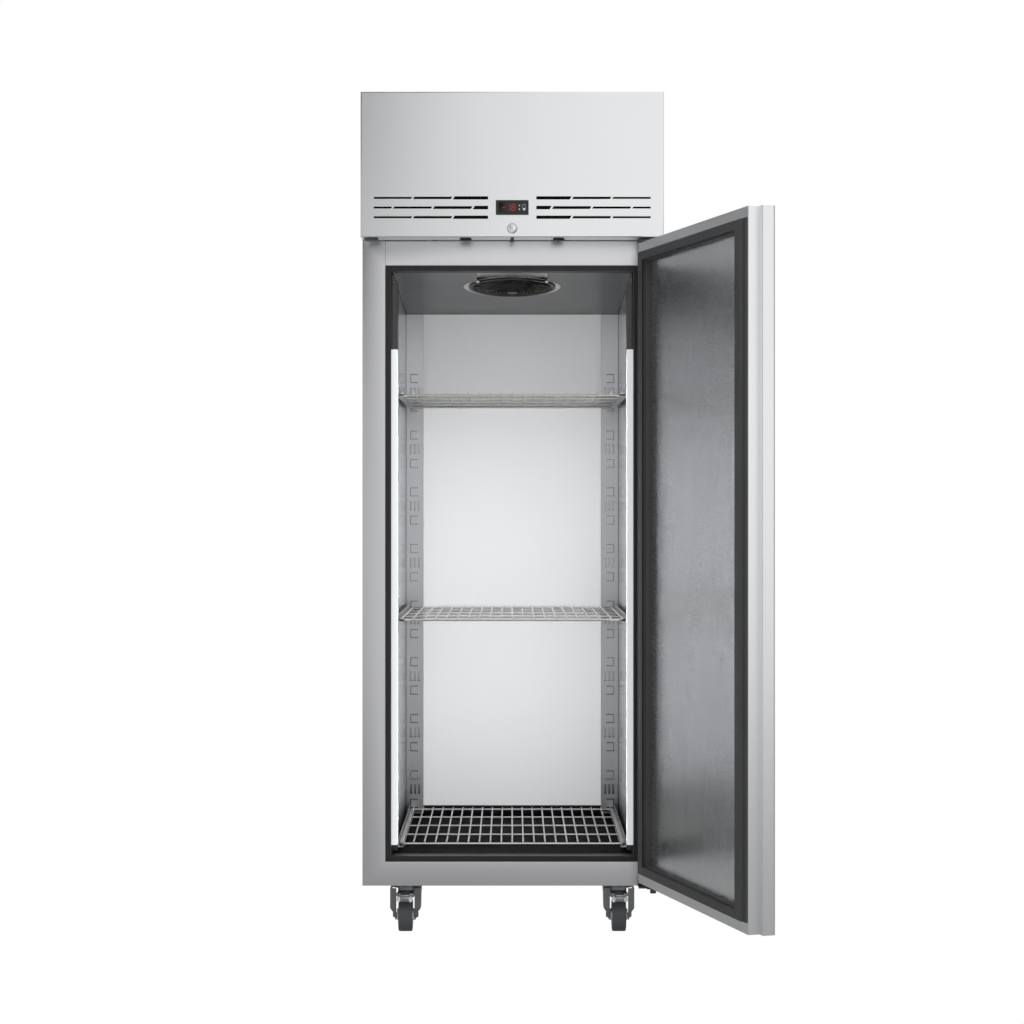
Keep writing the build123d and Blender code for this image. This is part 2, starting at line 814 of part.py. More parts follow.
def rear_grille():
    """Back sheet between the compartment's side sheets, with two columns of air slots and the gland's hole."""
    back = body_depth - grille_setback
    grille = block(-half + sheet, half - sheet, back - sheet, back, body_top, height - sheet)
    slot_width = half * 0.7
    first = body_top + 60
    pitch = (machine_height - 100) / grille_slots
    for x0 in (-half * 0.1 - slot_width, half * 0.1):
        for number in range(grille_slots):
            z = first + number * pitch
            grille -= block(x0, x0 + slot_width, back - 2 * sheet, back + sheet, z, z + pitch * 0.45)
    x, z = gland_place()
    return grille - rod((x, body_depth - 5, z), (x, body_depth + 5, z), gland_radius)


def gland_place():
    """Where the mains gland goes through the rear sheet."""
    return -half + 50, body_top + 30


def mains_gland():
    """Gland for the mains cord, flush with the casing's back, and its nut inside the rear sheet."""
    x, z = gland_place()
    start = body_depth - gland_length
    inner = body_depth - grille_setback - sheet
    body = rod((x, start, z), (x, body_depth, z), gland_radius)
    body += rod((x, inner - 4, z), (x, inner, z), gland_radius + 5)
    return body - rod((x, start - 1, z), (x, body_depth + 1, z), cord_bore)


# Fascia

def slot_height(x):
    """Slots grow from thin at the side to thick near the controller."""
    outer = half - slot_margin
    share = (outer - x) / (outer - slot_inner)
    return slot_thin + (slot_thick - slot_thin) * share


def vent_slots(sign):
    """Three rows of slanted slots on one side; the middle row is shifted by half a pitch."""
    outer = half - slot_margin
    cut = None
    for row in (-1, 0, 1):
        z = slot_z + row * slot_row_pitch
        end = outer if row else outer + slot_pitch / 2
        while end > slot_inner + slot_bridge:
            x1 = min(end, outer)
            x0 = max(end - slot_pitch + slot_bridge, slot_inner)
            tall = slot_height((x0 + x1) / 2)
            lean = slot_slant * tall / 2
            ends = sorted((sign * x0, sign * x1))
            low, high = z - tall / 2, z + tall / 2
            points = [(ends[0] - lean, low), (ends[1] - lean, low), (ends[1] + lean, high), (ends[0] + lean, high)]
            slot = front_prism(points, fascia_front - 1, fascia_front + 2 * sheet)
            cut = slot if cut is None else cut + slot
            end -= slot_pitch
    return cut


def front_fascia():
    """Front panel of the machine compartment with its four turned edges and all its holes."""
    panel = block(-half, half, fascia_front, fascia_back, fascia_bottom, height)
    panel -= block(-half + sheet, half - sheet, fascia_front + sheet, 0, fascia_bottom + sheet, height - sheet)
    panel -= vent_slots(1)
    panel -= vent_slots(-1)
    side = controller_width / 2 - bezel_border
    tall = controller_height / 2 - bezel_border
    panel -= block(-side, side, fascia_front - 1, fascia_front + 2, slot_z - tall, slot_z + tall)
    panel -= rod((0, fascia_front - 1, lock_centre), (0, fascia_front + 2, lock_centre), lock_radius - 3 + running_fit)
    low, high = fascia_bottom - 1, fascia_bottom + 2 * sheet
    panel -= rod((0, -bolt_setback, low), (0, -bolt_setback, high), bolt_radius + 0.3)
    panel -= rod((-hinge_x, hinge_y, low), (-hinge_x, hinge_y, high), plug_radius - 3)
    for x in (-thumb_spacing / 2, thumb_spacing / 2):
        panel -= rod((x, -bolt_setback, low), (x, -bolt_setback, high), 3)
    pivot_z = height - fascia_pivot_drop
    pin_hole = rod((half - 3, -fascia_pivot_setback, pivot_z), (half + 1, -fascia_pivot_setback, pivot_z),
                   fascia_pin + running_fit)
    return panel - both_sides(pin_hole)


def thumb_screws():
    """Captive knurled screws under the fascia."""
    screws = []
    for x in (-thumb_spacing / 2, thumb_spacing / 2):
        head = rod((x, -bolt_setback, fascia_bottom - thumb_height), (x, -bolt_setback, fascia_bottom), thumb_radius)
        shank = rod((x, -bolt_setback, fascia_bottom), (x, -bolt_setback, fascia_bottom + 12), 2.9)
        screws.append(head + shank)
    return Compound(children=screws)


def hinge_hole_plug():
    """Plug in the hole that would take the upper hinge of a left-hand door."""
    top = fascia_bottom
    cap = rod((-hinge_x, hinge_y, top - plug_height), (-hinge_x, hinge_y, top), plug_radius)
    cap = fillet(cap.edges().group_by(Axis.Z)[0], plug_height / 3)
    return cap + rod((-hinge_x, hinge_y, top), (-hinge_x, hinge_y, top + 4), plug_radius - 3.1)


def dust_filter():
    """Two filter pads in frames behind the slots, left and right of the controller."""
    inner = controller_width / 2 + 8
    outer = half - 12
    y0 = fascia_front + sheet
    low = slot_z - filter_height / 2
    high = slot_z + filter_height / 2
    pad = block(inner, outer, y0 + 14, y0 + 14 + filter_thickness, low, high)
    for x in (inner, outer - 6):
        pad += block(x, x + 6, y0, y0 + 14, low, high)
    return both_sides(pad)


def key_slot(name, margin, y0, y1):
    """The outline of one key as a block, larger by a margin."""
    x = key_places[name]
    side = key_width / 2 + margin
    tall = key_height / 2 + margin
    return block(x - side, x + side, y0, y1, slot_z - tall, slot_z + tall)


def controller_housing():
    """Controller with a bezel on the fascia, a display window and two key holes."""
    side = controller_width / 2
    tall = controller_height / 2
    face = fascia_front - controller_proud
    body = block(-side, side, face, fascia_front, slot_z - tall, slot_z + tall)
    body = fillet(body.edges().filter_by(Axis.Y), 1.5)
    border = bezel_border + 0.1
    body += block(-side + border, side - border, fascia_front, face + controller_depth, slot_z - tall + border,
                  slot_z + tall - border)
    body -= block(-side + 7, 8, face - 1, face + 0.6, slot_z - tall + 5, slot_z + tall - 5)
    for name in key_places:
        body -= key_slot(name, 0.3, face - 1, face + 6)
    return body


def controller_key(name):
    """A key that stands just out of the bezel."""
    face = fascia_front - controller_proud
    return key_slot(name, 0, face - 0.9, face + 4.5)


def lock_cylinder():
    """Round lock with a key slit in front and a crank pin behind."""
    face = fascia_front - 3
    back = -bolt_setback - 9
    lock = rod((0, face, lock_centre), (0, fascia_front - 0.3, lock_centre), lock_radius)
    lock += rod((0, fascia_front - 0.3, lock_centre), (0, back, lock_centre), lock_radius - 3)
    lock += rod((0, back - 3, lock_centre), (0, back, lock_centre), lock_crank + 3)
    turn = radians(45)
    x = lock_crank * cos(turn)
    z = lock_centre + lock_crank * sin(turn)
    lock += rod((x, back, z), (x, back + 8, z), 1.5)
    return lock - block(-1, 1, face - 1, face + 2, lock_centre - 5, lock_centre + 5)


def lock_bolt():
    """Bolt with a slotted yoke that the crank pin moves down into the door."""
    y = -bolt_setback
    tip = fascia_bottom - bolt_tip_drop
    pin_z = lock_centre + lock_crank * sin(radians(45))
    bolt = rod((0, y, tip), (0, y, pin_z + 6), bolt_radius)
    yoke_y = y - 7.5
    yoke = block(-bolt_radius, lock_crank + 6, yoke_y, y - 2, pin_z - 6, pin_z + 6)
    yoke -= block(lock_crank * cos(radians(45)) - 3, lock_crank + 2.5, yoke_y - 1, y - 1, pin_z - 2, pin_z + 2)
    return bolt + yoke


# Door

def door_outline():
    """The door seen from above: body, flat free end and the grip lip that stands out at its outer face."""
    rim_x = grip_x + grip_overhang
    lip_y = door_face + grip_lip
    corners = [((half, door_rim), edge_round), ((rim_x, door_rim), rim_edge), ((rim_x, lip_y), 0),
               ((grip_x, lip_y), grip_edge), ((grip_x, door_face), grip_corner), ((half, door_face), edge_round)]
    outline = polygon([corner for corner, radius in corners])
    for (x, y), radius in corners:
        if radius:
            nearest = outline.vertices().sort_by_distance(Vector(x, y, 0))[0]
            outline = fillet(nearest, radius)
    return outline


def door_core():
    """The space inside the door's outer sheet."""
    return upright(offset(door_outline(), -sheet, kind=Kind.INTERSECTION), door_bottom + sheet, door_top - sheet)


def door_holes():
    """Holes for the hinge bushes and for the lock bolt."""
    holes = rod((hinge_x, hinge_y, door_bottom - 1), (hinge_x, hinge_y, door_bottom + bush_length), bush_radius)
    holes += rod((hinge_x, hinge_y, door_top - bush_length), (hinge_x, hinge_y, door_top + 1), bush_radius)
    return holes + rod((0, -bolt_setback, door_top - 25), (0, -bolt_setback, door_top + 1), bolt_radius + 1.5)


def door_recess(y0, y1):
    """The space of the recessed inner panel, between two depths."""
    return block(-recess_half, recess_half, y0, y1, recess_low, recess_high)


def door_outer_skin():
    """Steel skin of the door with the full-length grip edge."""
    skin = upright(door_outline(), door_bottom, door_top) - door_core()
    skin -= door_recess(door_rim - 2 * sheet, door_rim + 1)
    return door_swing * (skin - door_holes())


def door_foam():
    """Foam inside the door."""
    foam = door_core() - door_recess(panel_face - sheet, door_rim + 1)
    return door_swing * (foam - door_holes())


def door_inner_panel():
    """Steel panel at the bottom of the door's recess."""
    return door_swing * door_recess(panel_face - sheet, panel_face)


def recess_ring(inner, outer, y0, y1):
    """A ring round the recess; inner and outer are its distances from the recess's edge, sideways and up."""
    ring = block(-recess_half - outer[0], recess_half + outer[0], y0, y1, recess_low - outer[1], recess_high + outer[1])
    return ring - block(-recess_half - inner[0], recess_half + inner[0], y0 - 1, y1 + 1,
                        recess_low - inner[1], recess_high + inner[1])


def door_gasket():
    """Black seal: a base, a bead that meets the cabinet, and the trim that lines the recess."""
    base = door_rim + gasket_base
    seal = recess_ring((-trim, -trim), (gasket_side, gasket_end), door_rim, base)
    seal += recess_ring((bead_inset, bead_inset), (bead_side, bead_end), base, -gasket_clearance)
    return door_swing * (seal + recess_ring((-trim, -trim), (0, 0), panel_face, base))


def hinge_bushes():
    """Bushes in the door's two ends that turn on the hinge pins."""
    bore = hinge_pin + running_fit
    low = tube((hinge_x, hinge_y, door_bottom), (hinge_x, hinge_y, door_bottom + bush_length), bush_radius, bore)
    high = tube((hinge_x, hinge_y, door_top - bush_length), (hinge_x, hinge_y, door_top), bush_radius, bore)
    return door_swing * Compound(children=[low, high])


def hinge_bracket(level, sign, pin_end, washer_end):
    """A plate with a flange on the cabinet and a pin; sign is +1 where the flange goes up from the plate."""
    x0 = hinge_x - bracket_width / 2 - 7
    x1 = x0 + bracket_width
    z0 = level
    z1 = level + bracket_thickness
    plate = block(x0, x1, -bracket_reach, 0, z0, z1)
    tip_x = (x0 + x1) / 2
    corner = block(x0 - 1, tip_x - 8, -bracket_reach - 1, -bracket_reach + 12, z0 - 1, z1 + 1)
    plate -= corner
    ends = sorted((z0 if sign > 0 else z1, (z0 if sign > 0 else z1) + sign * bracket_height))
    plate += block(x0, x1, -bracket_flange, 0, ends[0], ends[1])
    plate += rod((hinge_x, hinge_y, z0), (hinge_x, hinge_y, pin_end), hinge_pin)
    return plate + rod((hinge_x, hinge_y, z0), (hinge_x, hinge_y, washer_end), bush_radius + 2)


def lower_hinge_bracket():
    """Bracket under the door, whose washer carries it."""
    bracket = hinge_bracket(body_bottom, 1, door_bottom + bush_length - 1, door_bottom - washer_gap)
    return bracket + rod((hinge_x, hinge_y, body_bottom - 10), (hinge_x, hinge_y, body_bottom), hinge_pin + 2)


def upper_hinge_bracket():
    """Bracket over the door, just under the fascia."""
    level = body_top - 1.5 - bracket_thickness
    return hinge_bracket(level, -1, door_top - bush_length + 1, door_top + washer_gap)


def hinge_screws():
    """Two countersunk screw heads in each bracket's flange."""
    middle = hinge_x - 7
    heads = []
    levels = (body_bottom + bracket_height * 0.62, body_top - 1.5 - bracket_height * 0.62)
    for z in levels:
        for x in (middle - 13, middle + 13):
            heads.append(rod((x, -bracket_flange - 1.5, z), (x, -bracket_flange, z), 4.5))
    return Compound(children=heads)


# Castors

def castor_places():
    """The swivel axis of each castor, by name."""
    side = castor_spacing / 2
    return {"front_left": (-side, castor_front), "front_right": (side, castor_front),
            "back_left": (-side, castor_back), "back_right": (side, castor_back)}


def castor_plates():
    """Top plates with their four bolt heads and the kingpin's bore."""
    plates = []
    low = castor_height - plate_thickness
    for x, y in castor_places().values():
        plate = Pos(x, y, low) * Box(plate_length, plate_depth, plate_thickness,
                                     align=(Align.CENTER, Align.CENTER, Align.MIN))
        for dx in (-1, 1):
            for dy in (-1, 1):
                bolt_x = x + dx * (plate_length / 2 - 12)
                bolt_y = y + dy * (plate_depth / 2 - 12)
                plate += rod((bolt_x, bolt_y, low - 5.5), (bolt_x, bolt_y, low), 6)
        plates.append(plate - rod((x, y, low - 1), (x, y, castor_height + 1), kingpin_radius + running_fit))
    return Compound(children=plates)


def fork_leg_outline(crown):
    """The right leg seen from the front, from its foot outside up to the crown, as X and Z."""
    foot = hub_width / 2 + 1 + fork_sheet
    wide = raceway_radius
    return [(foot, wheel_radius - fork_foot), (foot, wheel_radius), (wide, wheel_radius + fork_waist), (wide, crown)]


def castor_fork(x, y, braked):
    """Swivelling fork with its raceway, kingpin, flanged legs and axle, and the pin of a brake pedal."""
    top = castor_height - plate_thickness - raceway_gap
    crown = top - raceway_height
    fork = rod((0, 0, crown), (0, 0, top), raceway_radius)
    fork += rod((0, 0, top), (0, 0, castor_height - 1), kingpin_radius)
    outer = fork_leg_outline(crown)
    sheet_points = outer + [(a - fork_sheet, b) for a, b in reversed(outer)]
    narrow = outer[0][0] - fork_sheet
    filled_points = outer + [(narrow, crown), (narrow, outer[0][1])]
    axle_y = -castor_offset
    front = axle_y - 16
    low = outer[0][1] - 1
    front_edge = [(front + 4, low), (front, wheel_radius + fork_waist), (front, crown + 1)]
    side_points = front_edge + [(26, crown + 1), (26, crown - 6), (axle_y + 18, wheel_radius + fork_foot),
                                (axle_y + 12, low)]
    flange_points = front_edge + [(a + fork_sheet, b) for a, b in reversed(front_edge)]
    reach = raceway_radius + 1
    leg = front_prism(sheet_points, front - 1, 30) & side_prism(side_points, 0, reach)
    leg += front_prism(filled_points, front - 1, 30) & side_prism(flange_points, 0, reach)
    fork += both_sides(leg)
    nut = outer[0][0]
    fork += rod((-nut - 4, axle_y, wheel_radius), (nut + 4, axle_y, wheel_radius), axle_radius)
    for start in (-nut - 4, nut):
        fork += rod((start, axle_y, wheel_radius), (start + 4, axle_y, wheel_radius), 7)
    if braked:
        wide = raceway_radius - fork_sheet
        fork += rod((-wide - 1, axle_y - 8, pedal_pivot), (wide + 1, axle_y - 8, pedal_pivot), pedal_pin)
    return Pos(x, y, 0) * fork


def castor_wheel(x, y):
    """Wheel with a rounded tread, hollowed sides and a hub that turns on the axle."""
    side = wheel_width / 2
    wheel = rod((-side, 0, 0), (side, 0, 0), wheel_radius)
    wheel = fillet(wheel.edges().filter_by(GeomType.CIRCLE), 4)
    for start in (-side - 1, side - 7):
        wheel -= tube((start, 0, 0), (start + 8, 0, 0), wheel_radius - 9, hub_radius + 2)
    wheel += rod((-hub_width / 2, 0, 0), (hub_width / 2, 0, 0), hub_radius)
    wheel -= rod((-hub_width, 0, 0), (hub_width, 0, 0), axle_radius + running_fit)
    return Pos(x, y - castor_offset, wheel_radius) * wheel


def brake_pedal(x, y):
    """Pedal that turns on the fork's upper pin, over the wheel."""
    ear = 20.0
    hub = rod((-ear, 0, 0), (ear, 0, 0), pedal_hub)
    arm = block(-10.5, 10.5, -pedal_reach, 0, 2.5, pedal_hub)
    tread = block(-16, 16, -pedal_reach - 6, -pedal_reach, -10, pedal_hub + 1.5)
    pedal = hub + arm + tread - rod((-ear - 1, 0, 0), (ear + 1, 0, 0), pedal_pin + running_fit)
    return Pos(x, y - castor_offset - 8, pedal_pivot) * pedal


# All pieces by name

nodes = {
    "outer_casing": outer_casing(),
    "front_frame": front_frame(),
    "insulation_foam": insulation_foam(),
    "inner_liner": inner_liner(),
    "breaker_frame": breaker_frame(),
    "castor_plates": castor_plates(),
    "rear_air_panel": rear_air_panel(),
    "rear_racks": rear_racks(),
    "front_racks": front_racks(),
    "led_housings": led_housings(),
    "led_diffusers": led_diffusers(),
    "shelf_runners": shelf_runners(),
    "evaporator_cover": evaporator_cover(),
    "fan_ring": fan_ring(),
    "fan_guard": fan_guard(),
    "evaporator_fan_motor": evaporator_fan_motor(),
    "evaporator_coil": evaporator_coil(),
    "evaporator_housing": evaporator_housing(),
    "condensate_tray": condensate_tray(),
    "compressor": compressor(),
    "condenser_coil": condenser_coil(),
    "condenser_shroud": condenser_shroud(),
    "condenser_fan_motor": condenser_fan_motor(),
    "refrigerant_pipes": refrigerant_pipes(),
    "electrical_box": electrical_box(),
    "machine_housing": machine_housing(),
    "rear_grille": rear_grille(),
    "mains_gland": mains_gland(),
    "upper_hinge_bracket": upper_hinge_bracket(),
    "lower_hinge_bracket": lower_hinge_bracket(),
    "hinge_screws": hinge_screws(),
    "evaporator_fan_blade": evaporator_fan_blade(),
    "condenser_fan_blade": condenser_fan_blade(),
    "front_fascia": front_fascia(),
    "controller_housing": controller_housing(),
    "dust_filter": dust_filter(),
    "thumb_screws": thumb_screws(),
    "hinge_hole_plug": hinge_hole_plug(),
    "lock_cylinder": lock_cylinder(),
    "lock_bolt": lock_bolt(),
    "door_outer_skin": door_outer_skin(),
    "door_foam": door_foam(),
    "door_inner_panel": door_inner_panel(),
    "door_gasket": door_gasket(),
    "hinge_bushes": hinge_bushes(),
}
for name in key_places:
    nodes["controller_key_" + name] = controller_key(name)
for name, level in shelf_heights.items():
    nodes["shelf_" + name] = shelf(level)
for name, (x, y) in castor_places().items():
    braked = name.startswith("front")
    nodes["castor_fork_" + name] = castor_fork(x, y, braked)
    nodes["castor_wheel_" + name] = castor_wheel(x, y)
    if braked:
        nodes["brake_pedal_" + name] = brake_pedal(x, y)

corners = [shape.bounding_box() for shape in nodes.values()]
middle_x = (min(c.min.X for c in corners) + max(c.max.X for c in corners)) / 2
middle_y = (min(c.min.Y for c in corners) + max(c.max.Y for c in corners)) / 2
place = Pos(-middle_x, -middle_y, 0)

os.makedirs("parts", exist_ok=True)
for name, shape in nodes.items():
    export_step(place * shape, os.path.join("parts", name + ".step"))
print(len(nodes), "pieces; the cabinet's middle front is at", round(-middle_x, 3), round(-middle_y, 3))
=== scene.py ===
import json
from itertools import pairwise
from math import cos, pi, radians, sin

import bmesh
import bpy
from bpy.props import FloatProperty, FloatVectorProperty, IntProperty, PointerProperty
from mathutils import Matrix, Vector

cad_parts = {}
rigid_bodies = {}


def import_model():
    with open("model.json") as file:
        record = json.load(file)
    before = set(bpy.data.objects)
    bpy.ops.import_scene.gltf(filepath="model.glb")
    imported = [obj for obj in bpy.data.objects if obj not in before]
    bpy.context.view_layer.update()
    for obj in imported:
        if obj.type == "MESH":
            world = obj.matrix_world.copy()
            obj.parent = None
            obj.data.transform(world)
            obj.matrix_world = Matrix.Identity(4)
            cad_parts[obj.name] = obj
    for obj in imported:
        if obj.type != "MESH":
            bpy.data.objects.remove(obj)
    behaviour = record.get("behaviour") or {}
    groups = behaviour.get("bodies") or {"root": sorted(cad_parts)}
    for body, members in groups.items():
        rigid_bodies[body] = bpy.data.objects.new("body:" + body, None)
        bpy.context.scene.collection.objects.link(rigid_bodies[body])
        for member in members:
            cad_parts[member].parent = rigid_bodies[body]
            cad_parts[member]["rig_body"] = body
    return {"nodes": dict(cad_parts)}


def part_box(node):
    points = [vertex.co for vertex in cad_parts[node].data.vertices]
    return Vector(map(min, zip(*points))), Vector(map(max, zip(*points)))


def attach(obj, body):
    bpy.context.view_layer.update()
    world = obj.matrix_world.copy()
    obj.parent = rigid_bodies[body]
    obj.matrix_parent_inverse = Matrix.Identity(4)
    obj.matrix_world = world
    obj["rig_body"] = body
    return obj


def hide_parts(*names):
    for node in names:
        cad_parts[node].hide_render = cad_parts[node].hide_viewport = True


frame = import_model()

bl_info = {
    "name": "Upright freezer",
    "version": (1, 0, 0),
    "blender": (4, 5, 0),
    "location": "View3D > Sidebar > Freezer",
    "description": "Dresses the upright freezer with its detailed pieces, its finishes and a plain studio",
    "category": "Object",
}

for spare in [o for o in bpy.data.objects if "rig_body" not in o and not o.name.startswith("body:")]:
    bpy.data.objects.remove(spare)
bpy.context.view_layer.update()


def at(x, y, z):
    """A move by so much along X, Y and Z."""
    return Matrix.Translation((x, y, z))


# The drawing's frame: millimetres, x from the middle of the cabinet, y from its front plane, z from the floor
frame_low, frame_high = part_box("front_frame")
CABINET = at((frame_low.x + frame_high.x) / 2, frame_low.y, 0) @ Matrix.Scale(0.001, 4)
DOOR_OPEN = radians(106)
HINGE_X, HINGE_Y = 326.5, -42.0
DOOR = (CABINET @ at(HINGE_X, HINGE_Y, 0) @ Matrix.Rotation(DOOR_OPEN, 4, "Z")
        @ at(-HINGE_X, -HINGE_Y, 0))
HALF = 350.0
BODY_BOTTOM, BODY_TOP, HEIGHT = 124.0, 1631.0, 1967.0
OPENING_HALF, OPENING_LOW, OPENING_HIGH = 296.5, 180.0, 1573.0
FRAME_BACK = 35.9
FASCIA_LOW, FASCIA_FRONT, FASCIA_BACK = 1631.4, -70.0, -4.0
SLOT_Z = 1699.2
CONTROLLER_FACE = -72.0
LOCK_Z = 1651.3
BOLT_Y = -35.0
FAN = at(0, 245, 1547.2) @ Matrix.Rotation(radians(-6), 4, "X")
CONDENSER_FAN = at(0, 62, 1775) @ Matrix.Rotation(radians(-90), 4, "X")
FORWARD = Matrix.Rotation(radians(90), 4, "X")
CASTORS = {"front_left": (-253.5, 122), "front_right": (253.5, 122), "back_left": (-253.5, 660),
           "back_right": (253.5, 660)}
CASTOR_OFFSET = 22.0
WHEEL_Z = 40.0


class FreezerColours(bpy.types.PropertyGroup):
    """Colours of the finishes."""

    outer_steel: FloatVectorProperty(
        name="Outer steel", description="Brushed steel of the fascia, the casing and the door",
        subtype="COLOR", size=3, min=0, max=1, default=(0.84, 0.85, 0.86))
    frame_steel: FloatVectorProperty(
        name="Frame steel", description="Satin steel of the posts and rails round the opening",
        subtype="COLOR", size=3, min=0, max=1, default=(0.74, 0.745, 0.76))
    liner_steel: FloatVectorProperty(
        name="Liner steel", description="Steel of the inner liner and the racks",
        subtype="COLOR", size=3, min=0, max=1, default=(0.64, 0.65, 0.67))
    rear_panel: FloatVectorProperty(
        name="Rear panel", description="White lacquer of the rear air panel",
        subtype="COLOR", size=3, min=0, max=1, default=(0.88, 0.89, 0.90))
    black_plastic: FloatVectorProperty(
        name="Black plastic", description="Breaker strip, fan guard and other black mouldings",
        subtype="COLOR", size=3, min=0, max=1, default=(0.022, 0.022, 0.023))
    rubber: FloatVectorProperty(
        name="Rubber", description="Door gasket",
        subtype="COLOR", size=3, min=0, max=1, default=(0.045, 0.046, 0.048))
    light: FloatVectorProperty(
        name="Light", description="Colour of the light bars",
        subtype="COLOR", size=3, min=0, max=1, default=(0.84, 0.86, 0.88))
    digits: FloatVectorProperty(
        name="Digits", description="Colour of the lit temperature",
        subtype="COLOR", size=3, min=0, max=1, default=(0.5, 0.02, 0.05))


class FreezerSizes(bpy.types.PropertyGroup):
    """Sizes and counts of the detailed pieces."""

    bend_radius: FloatProperty(
        name="Bend radius", description="Outer radius of the fascia's folded edges",
        unit="LENGTH", subtype="DISTANCE", min=0.001, max=0.006, default=0.0025)
    guard_wire: FloatProperty(
        name="Guard wire", description="Radius of the wires in the fan guard",
        unit="LENGTH", subtype="DISTANCE", min=0.0005, max=0.002, default=0.0013)
    guard_rings: IntProperty(
        name="Guard rings", description="Number of wire rings in the fan guard", min=3, max=20, default=9)
    blades: IntProperty(
        name="Blades", description="Number of blades on each fan", min=3, max=9, default=5)
    knurls: IntProperty(
        name="Knurls", description="Number of ridges round a thumb screw", min=12, max=60, default=36)
    fin_pitch: FloatProperty(
        name="Fin pitch", description="Distance between two fins of the condenser",
        unit="LENGTH", subtype="DISTANCE", min=0.002, max=0.01, default=0.004)
    temperature: IntProperty(
        name="Temperature", description="Temperature on the display, in degrees",
        min=-99, max=99, default=-18)


# Shader maths

class Wire:
    """A node's output that adds, subtracts and multiplies like a number."""

    def __init__(self, shader, socket):
        self.shader = shader
        self.socket = socket

    def __add__(self, other):
        return self.shader.maths("ADD", self, other)

    def __sub__(self, other):
        return self.shader.maths("SUBTRACT", self, other)

    def __rsub__(self, other):
        return self.shader.maths("SUBTRACT", other, self)

    def __mul__(self, other):
        return self.shader.maths("MULTIPLY", self, other)

    __radd__ = __add__
    __rmul__ = __mul__


class Shader:
    """A node tree in the making; each call adds a node and gives its output."""

    def __init__(self, owner):
        owner.use_nodes = True
        self.tree = owner.node_tree
        self.tree.nodes.clear()

    def node(self, kind, settings=None, sockets=None, output=0):
        made = self.tree.nodes.new("ShaderNode" + kind)
        for key, value in (settings or {}).items():
            if key == "stops":
                ramp = made.color_ramp.elements
                while len(ramp) < len(value):
                    ramp.new(0.5)
                for stop, (place, colour) in zip(ramp, value):
                    stop.position = place
                    stop.color = (*colour, 1)
            else:
                setattr(made, key, value)
        for key, value in (sockets or {}).items():
            if isinstance(value, Wire):
                self.tree.links.new(value.socket, made.inputs[key])
            else:
                made.inputs[key].default_value = value
        return Wire(self, made.outputs[output]) if made.outputs else made

    def maths(self, operation, *values):
        return self.node("Math", {"operation": operation}, dict(enumerate(values)))

    def limit(self, value, low=0.0, high=1.0):
        return self.node("Clamp", sockets={"Value": value, "Min": low, "Max": high})

    def mix(self, share, first, second):
        """A colour between two, by a share."""
        colours = [c if isinstance(c, Wire) else (*c, 1) for c in (first, second)]
        return self.node("Mix", {"data_type": "RGBA"}, {0: share, 6: colours[0], 7: colours[1]}, 2)

    def place(self, stretch=(1, 1, 1), turn=0.0):
        """Object coordinates, turned about Z and stretched."""
        spot = self.node("TexCoord", output=3)
        turned = self.node("Mapping", sockets={"Vector": spot, "Rotation": (0, 0, turn)})
        return self.node("Mapping", sockets={"Vector": turned, "Scale": stretch})

    def noise(self, scale, stretch=(1, 1, 1), turn=0.0, detail=2.0):
        spot = self.place(stretch, turn)
        return self.node("TexNoise", sockets={"Vector": spot, "Scale": scale, "Detail": detail})

    def bump(self, height, strength, distance):
        return self.node("Bump", sockets={"Height": height, "Strength": strength, "Distance": distance})

    def surface(self, colour, roughness, normal=None, **fixed):
        """The principled surface, with what varies linked and the rest set on its own sockets."""
        colour = colour if isinstance(colour, Wire) else (*colour, 1)
        sockets = {"Base Color": colour, "Roughness": roughness}
        if normal:
            sockets["Normal"] = normal
        sockets.update({key.replace("_", " ").title(): value for key, value in fixed.items()})
        shine = self.node("BsdfPrincipled", sockets=sockets)
        self.node("OutputMaterial", sockets={"Surface": shine})


def shade(colour, factor):
    """A colour made darker or lighter."""
    return tuple(min(1.0, channel * factor) for channel in colour)


def brushed(shader, colour, roughness, grain, turn=0.0, contrast=0.06):
    """Sheet steel with hairlines along its rolling direction, cloudy patches and faint wipe marks."""
    lines = shader.noise(90, grain, turn, 3)
    fine = shader.noise(420, grain, turn, 1)
    clouds = shader.noise(3.1, (1, 1, 1), turn, 3)
    wipes = shader.noise(7, (1, 1, 0.35), turn, 4)
    hair = lines * 0.6 + fine * 0.4
    tone = shader.limit(hair * 0.55 + clouds * 0.45)
    tint = shader.mix(tone, shade(colour, 1 - contrast), shade(colour, 1 + contrast))
    rough = shader.limit(roughness - 0.06 + hair * 0.07 + wipes * 0.05, 0.05, 1)
    normal = shader.bump(hair, 0.10, 0.00006)
    shader.surface(tint, rough, normal, metallic=1.0)


def shaded_steel(shader, colour, roughness):
    """Liner steel, with a dull and nearly black floor that follows the photograph's tone."""
    lines = shader.noise(90, UPRIGHT, 0.0, 3)
    spot = shader.node("TexCoord", output=3)
    height = shader.node("SeparateXYZ", sockets={"Vector": spot}, output=2)
    # Painted shade: nearly black on the floor, fading out over the lowest 0.11 m of the walls
    unshaded = shader.limit((height - (BODY_BOTTOM + 68) / 1000) * 9)
    tone = shader.limit(unshaded * 0.94 + lines * 0.06)
    tint = shader.mix(tone, (0.012, 0.012, 0.013), shade(colour, 1.03))
    rough = shader.limit(roughness + 0.58 - unshaded * 0.62 + lines * 0.08)
    shader.surface(tint, rough, shader.bump(lines, 0.10, 0.00006), metallic=1.0)


def moulded(shader, colour, roughness, texture=900, height=0.00005, contrast=0.25):
    """Moulded plastic or rubber with a fine grain and slightly polished patches."""
    grain = shader.noise(texture, detail=2)
    patches = shader.noise(11, detail=4)
    tint = shader.mix(patches, shade(colour, 1 - contrast), shade(colour, 1 + contrast))
    rough = shader.limit(roughness - 0.08 + patches * 0.16, 0.05, 1)
    shader.surface(tint, rough, shader.bump(grain, 0.25, height))


